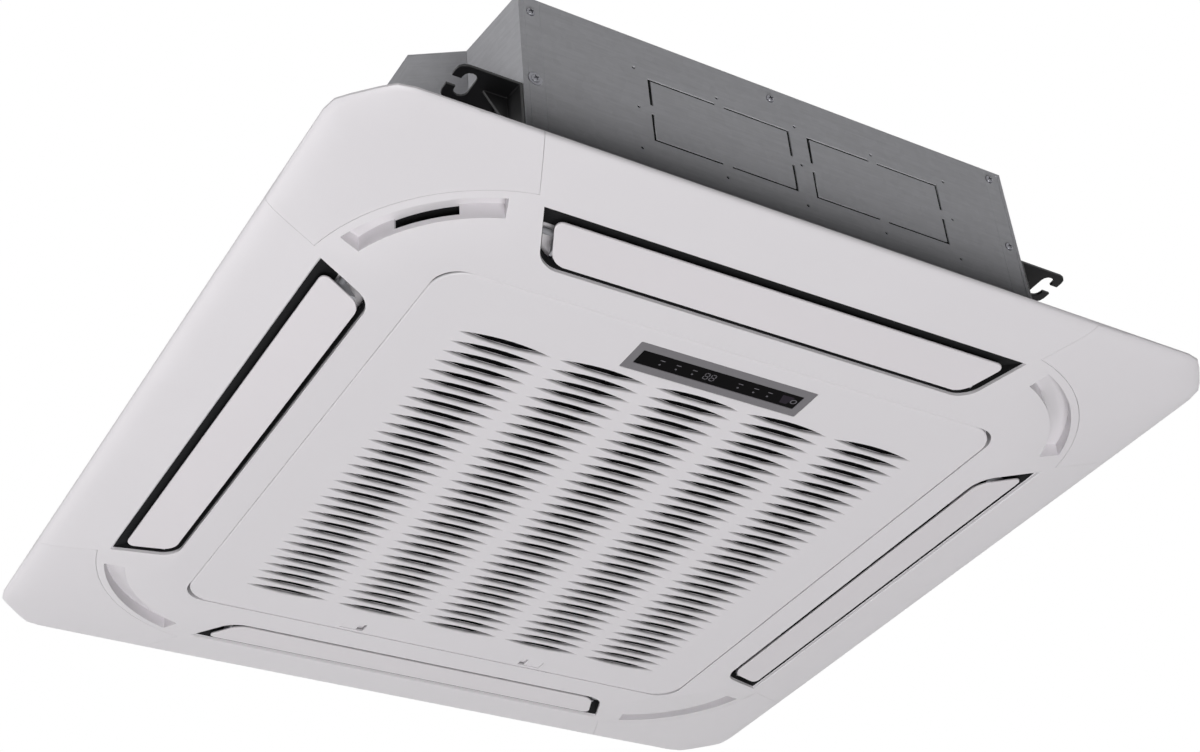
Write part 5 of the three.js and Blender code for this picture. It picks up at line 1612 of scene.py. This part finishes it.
@dataclass
class Inside:
    """Everything else: the CAD's own forms with rounded edges and their finishes."""

    bevels: dict[str, float] = field(
        default_factory=lambda: {
            "drain_pan": 1.2,
            "foam_liner": 1.0,
            "coil": 0.4,
            "electrical_box": 0.4,
            "electrical_lid": 0.3,
            "pipe_cover": 0.3,
            "control_board": 0.2,
            "filter_frame": 0.25,
            "hook_front_left": 0.7,
            "hook_front_right": 0.7,
            "hook_rear_left": 0.7,
            "hook_rear_right": 0.7,
            "drain_pump": 0.5,
            "gas_nut": 0.5,
            "liquid_nut": 0.4,
        }
    )
    curved: tuple[str, ...] = (
        "fan", "fan_nut", "fan_motor", "motor_bracket", "bell_mouth", "drain_pipe", "gas_pipe",
        "liquid_pipe", "cable_grommet", "float", "room_sensor", "stepper_front",
        "stepper_right", "stepper_rear", "stepper_left", "tube_plate_rear",
        "tube_plate_right", "coil_baffle", "panel_gasket",
    )
    smooth_angle: float = 42.0

    def place(self, node: str, shape: Shape, smooth_angle: float) -> None:
        """Sets a CAD node's form down in its own place."""
        finish = FILTER_DARK if node == "filter_frame" else NODE_FINISHES[SLOTS[node]]
        set_down(shape, f"{node}_form", finish, BODIES[node], [node], smooth_angle)

    def build(self) -> None:
        """Makes and places the inner parts."""
        for node, width in self.bevels.items():
            self.place(node, Shape.from_node(node).soften(width), CREASE)
        for node in self.curved:
            self.place(node, Shape.from_node(node), self.smooth_angle)


@dataclass
class Studio:
    """The photograph's camera, plain soft light and a pale floor far below."""

    focal_pixels: float = 1970.8
    width: float = 1200.0
    height: float = 752.0
    centre: Pair = (560.3, 343.0)
    sensor: float = 36.0
    place: Triple = (-0.9389, -1.4795, -1.1026)
    ahead: Triple = (0.4292, 0.6776, 0.5972)
    right: Triple = (0.8666, -0.4952, -0.0608)
    floor_z: float = -5.0
    floor_half: float = 30.0
    clipping: Pair = (0.05, 100.0)
    sky: tuple[float, ...] = (0.95, 0.97, 1.0, 1.0)
    ambient: float = 0.035
    floor_glow: float = 0.78
    lamps: tuple[tuple[str, Triple, float, float], ...] = (
        ("key_lamp", (-1.1, -2.7, -3.8), 2.2, 162.0),
        ("under_lamp", (-1.4, 2.7, -3.4), 2.6, 54.0),
        ("side_lamp", (-3.6, 0.3, 0.2), 1.6, 46.0),
        ("back_lamp", (1.8, 3.2, 2.2), 3.0, 40.0),
    )

    def camera(self) -> None:
        """Sets the camera where the photograph was taken from."""
        lens = bpy.data.cameras.new("photo_camera")
        lens.sensor_width = self.sensor
        lens.lens = self.sensor * self.focal_pixels / self.width
        lens.shift_x = (self.width / 2 - self.centre[0]) / self.width
        lens.shift_y = -(self.height / 2 - self.centre[1]) / self.width
        lens.clip_start, lens.clip_end = self.clipping
        camera = bpy.data.objects.new("photo_camera", lens)
        right = Vector(self.right).normalized()
        ahead = Vector(self.ahead)
        ahead = (ahead - right * ahead.dot(right)).normalized()
        axes = Matrix((right, right.cross(ahead), -ahead)).transposed().to_4x4()
        camera.matrix_world = Matrix.Translation(Vector(self.place)) @ axes
        bpy.context.scene.collection.objects.link(camera)
        bpy.context.scene.camera = camera

    def world(self) -> None:
        """A white backdrop for the camera, and softer light for the surfaces."""
        world = bpy.data.worlds.new("soft_white")
        bpy.context.scene.world = world
        tree = Tree(world)
        backdrop = tree.nodes["Background"]
        backdrop.inputs["Color"].default_value = (1, 1, 1, 1)
        light = tree.add("ShaderNodeBackground", {"Color": self.sky, "Strength": self.ambient})
        feeds = {0: tree.seen(), 1: light.outputs[0], 2: backdrop.outputs[0]}
        both = tree.add("ShaderNodeMixShader", feeds).outputs[0]
        tree.links.new(both, tree.nodes["World Output"].inputs["Surface"])

    def lights(self) -> None:
        """Large soft lamps round the object."""
        for name, place, size, power in self.lamps:
            lamp = bpy.data.lights.new(name, "AREA")
            lamp.size = size
            lamp.energy = power
            item = bpy.data.objects.new(name, lamp)
            item.location = place
            item.rotation_euler = (-Vector(place)).to_track_quat("-Z", "Y").to_euler()
            bpy.context.scene.collection.objects.link(item)

    def floor(self) -> None:
        """A plain pale floor."""
        ground = bmesh.new()
        bmesh.ops.create_grid(ground, x_segments=1, y_segments=1, size=self.floor_half)
        bmesh.ops.translate(ground, vec=(0, 0, self.floor_z), verts=ground.verts)
        mesh = bpy.data.meshes.new("floor")
        ground.to_mesh(mesh)
        ground.free()
        floor = bpy.data.objects.new("floor", mesh)
        bpy.context.scene.collection.objects.link(floor)
        paint = FLOOR.material()
        tree = Tree(paint)
        glow = tree.compute("MULTIPLY", tree.seen(), self.floor_glow)
        tree.shader.inputs["Emission Color"].default_value = (1, 1, 1, 1)
        tree.links.new(glow, tree.shader.inputs["Emission Strength"])
        mesh.materials.append(paint)

    def build(self) -> None:
        """Sets up the whole studio."""
        bpy.context.scene.view_settings.view_transform = "Standard"
        self.camera()
        self.world()
        self.lights()
        self.floor()


def dress_nodes() -> None:
    """Gives every CAD node its procedural finish."""
    for name, node in frame["nodes"].items():
        node.data.materials.clear()
        node.data.materials.append(NODE_FINISHES[SLOTS[name]].material())


def main() -> None:
    """Builds the studio, then each sub-assembly in order."""
    logging.basicConfig(level=logging.INFO, format="%(name)s: %(message)s")
    Studio().build()
    dress_nodes()
    panel = Panel()
    panel.build()
    for part in (Ducts(panel), Grille(), Display(), Vanes(panel), Casing(), Inside()):
        part.build()
        LOG.info("%s is built", type(part).__name__)


if __name__ == "__main__":
    main()
    bpy.context.view_layer.update()
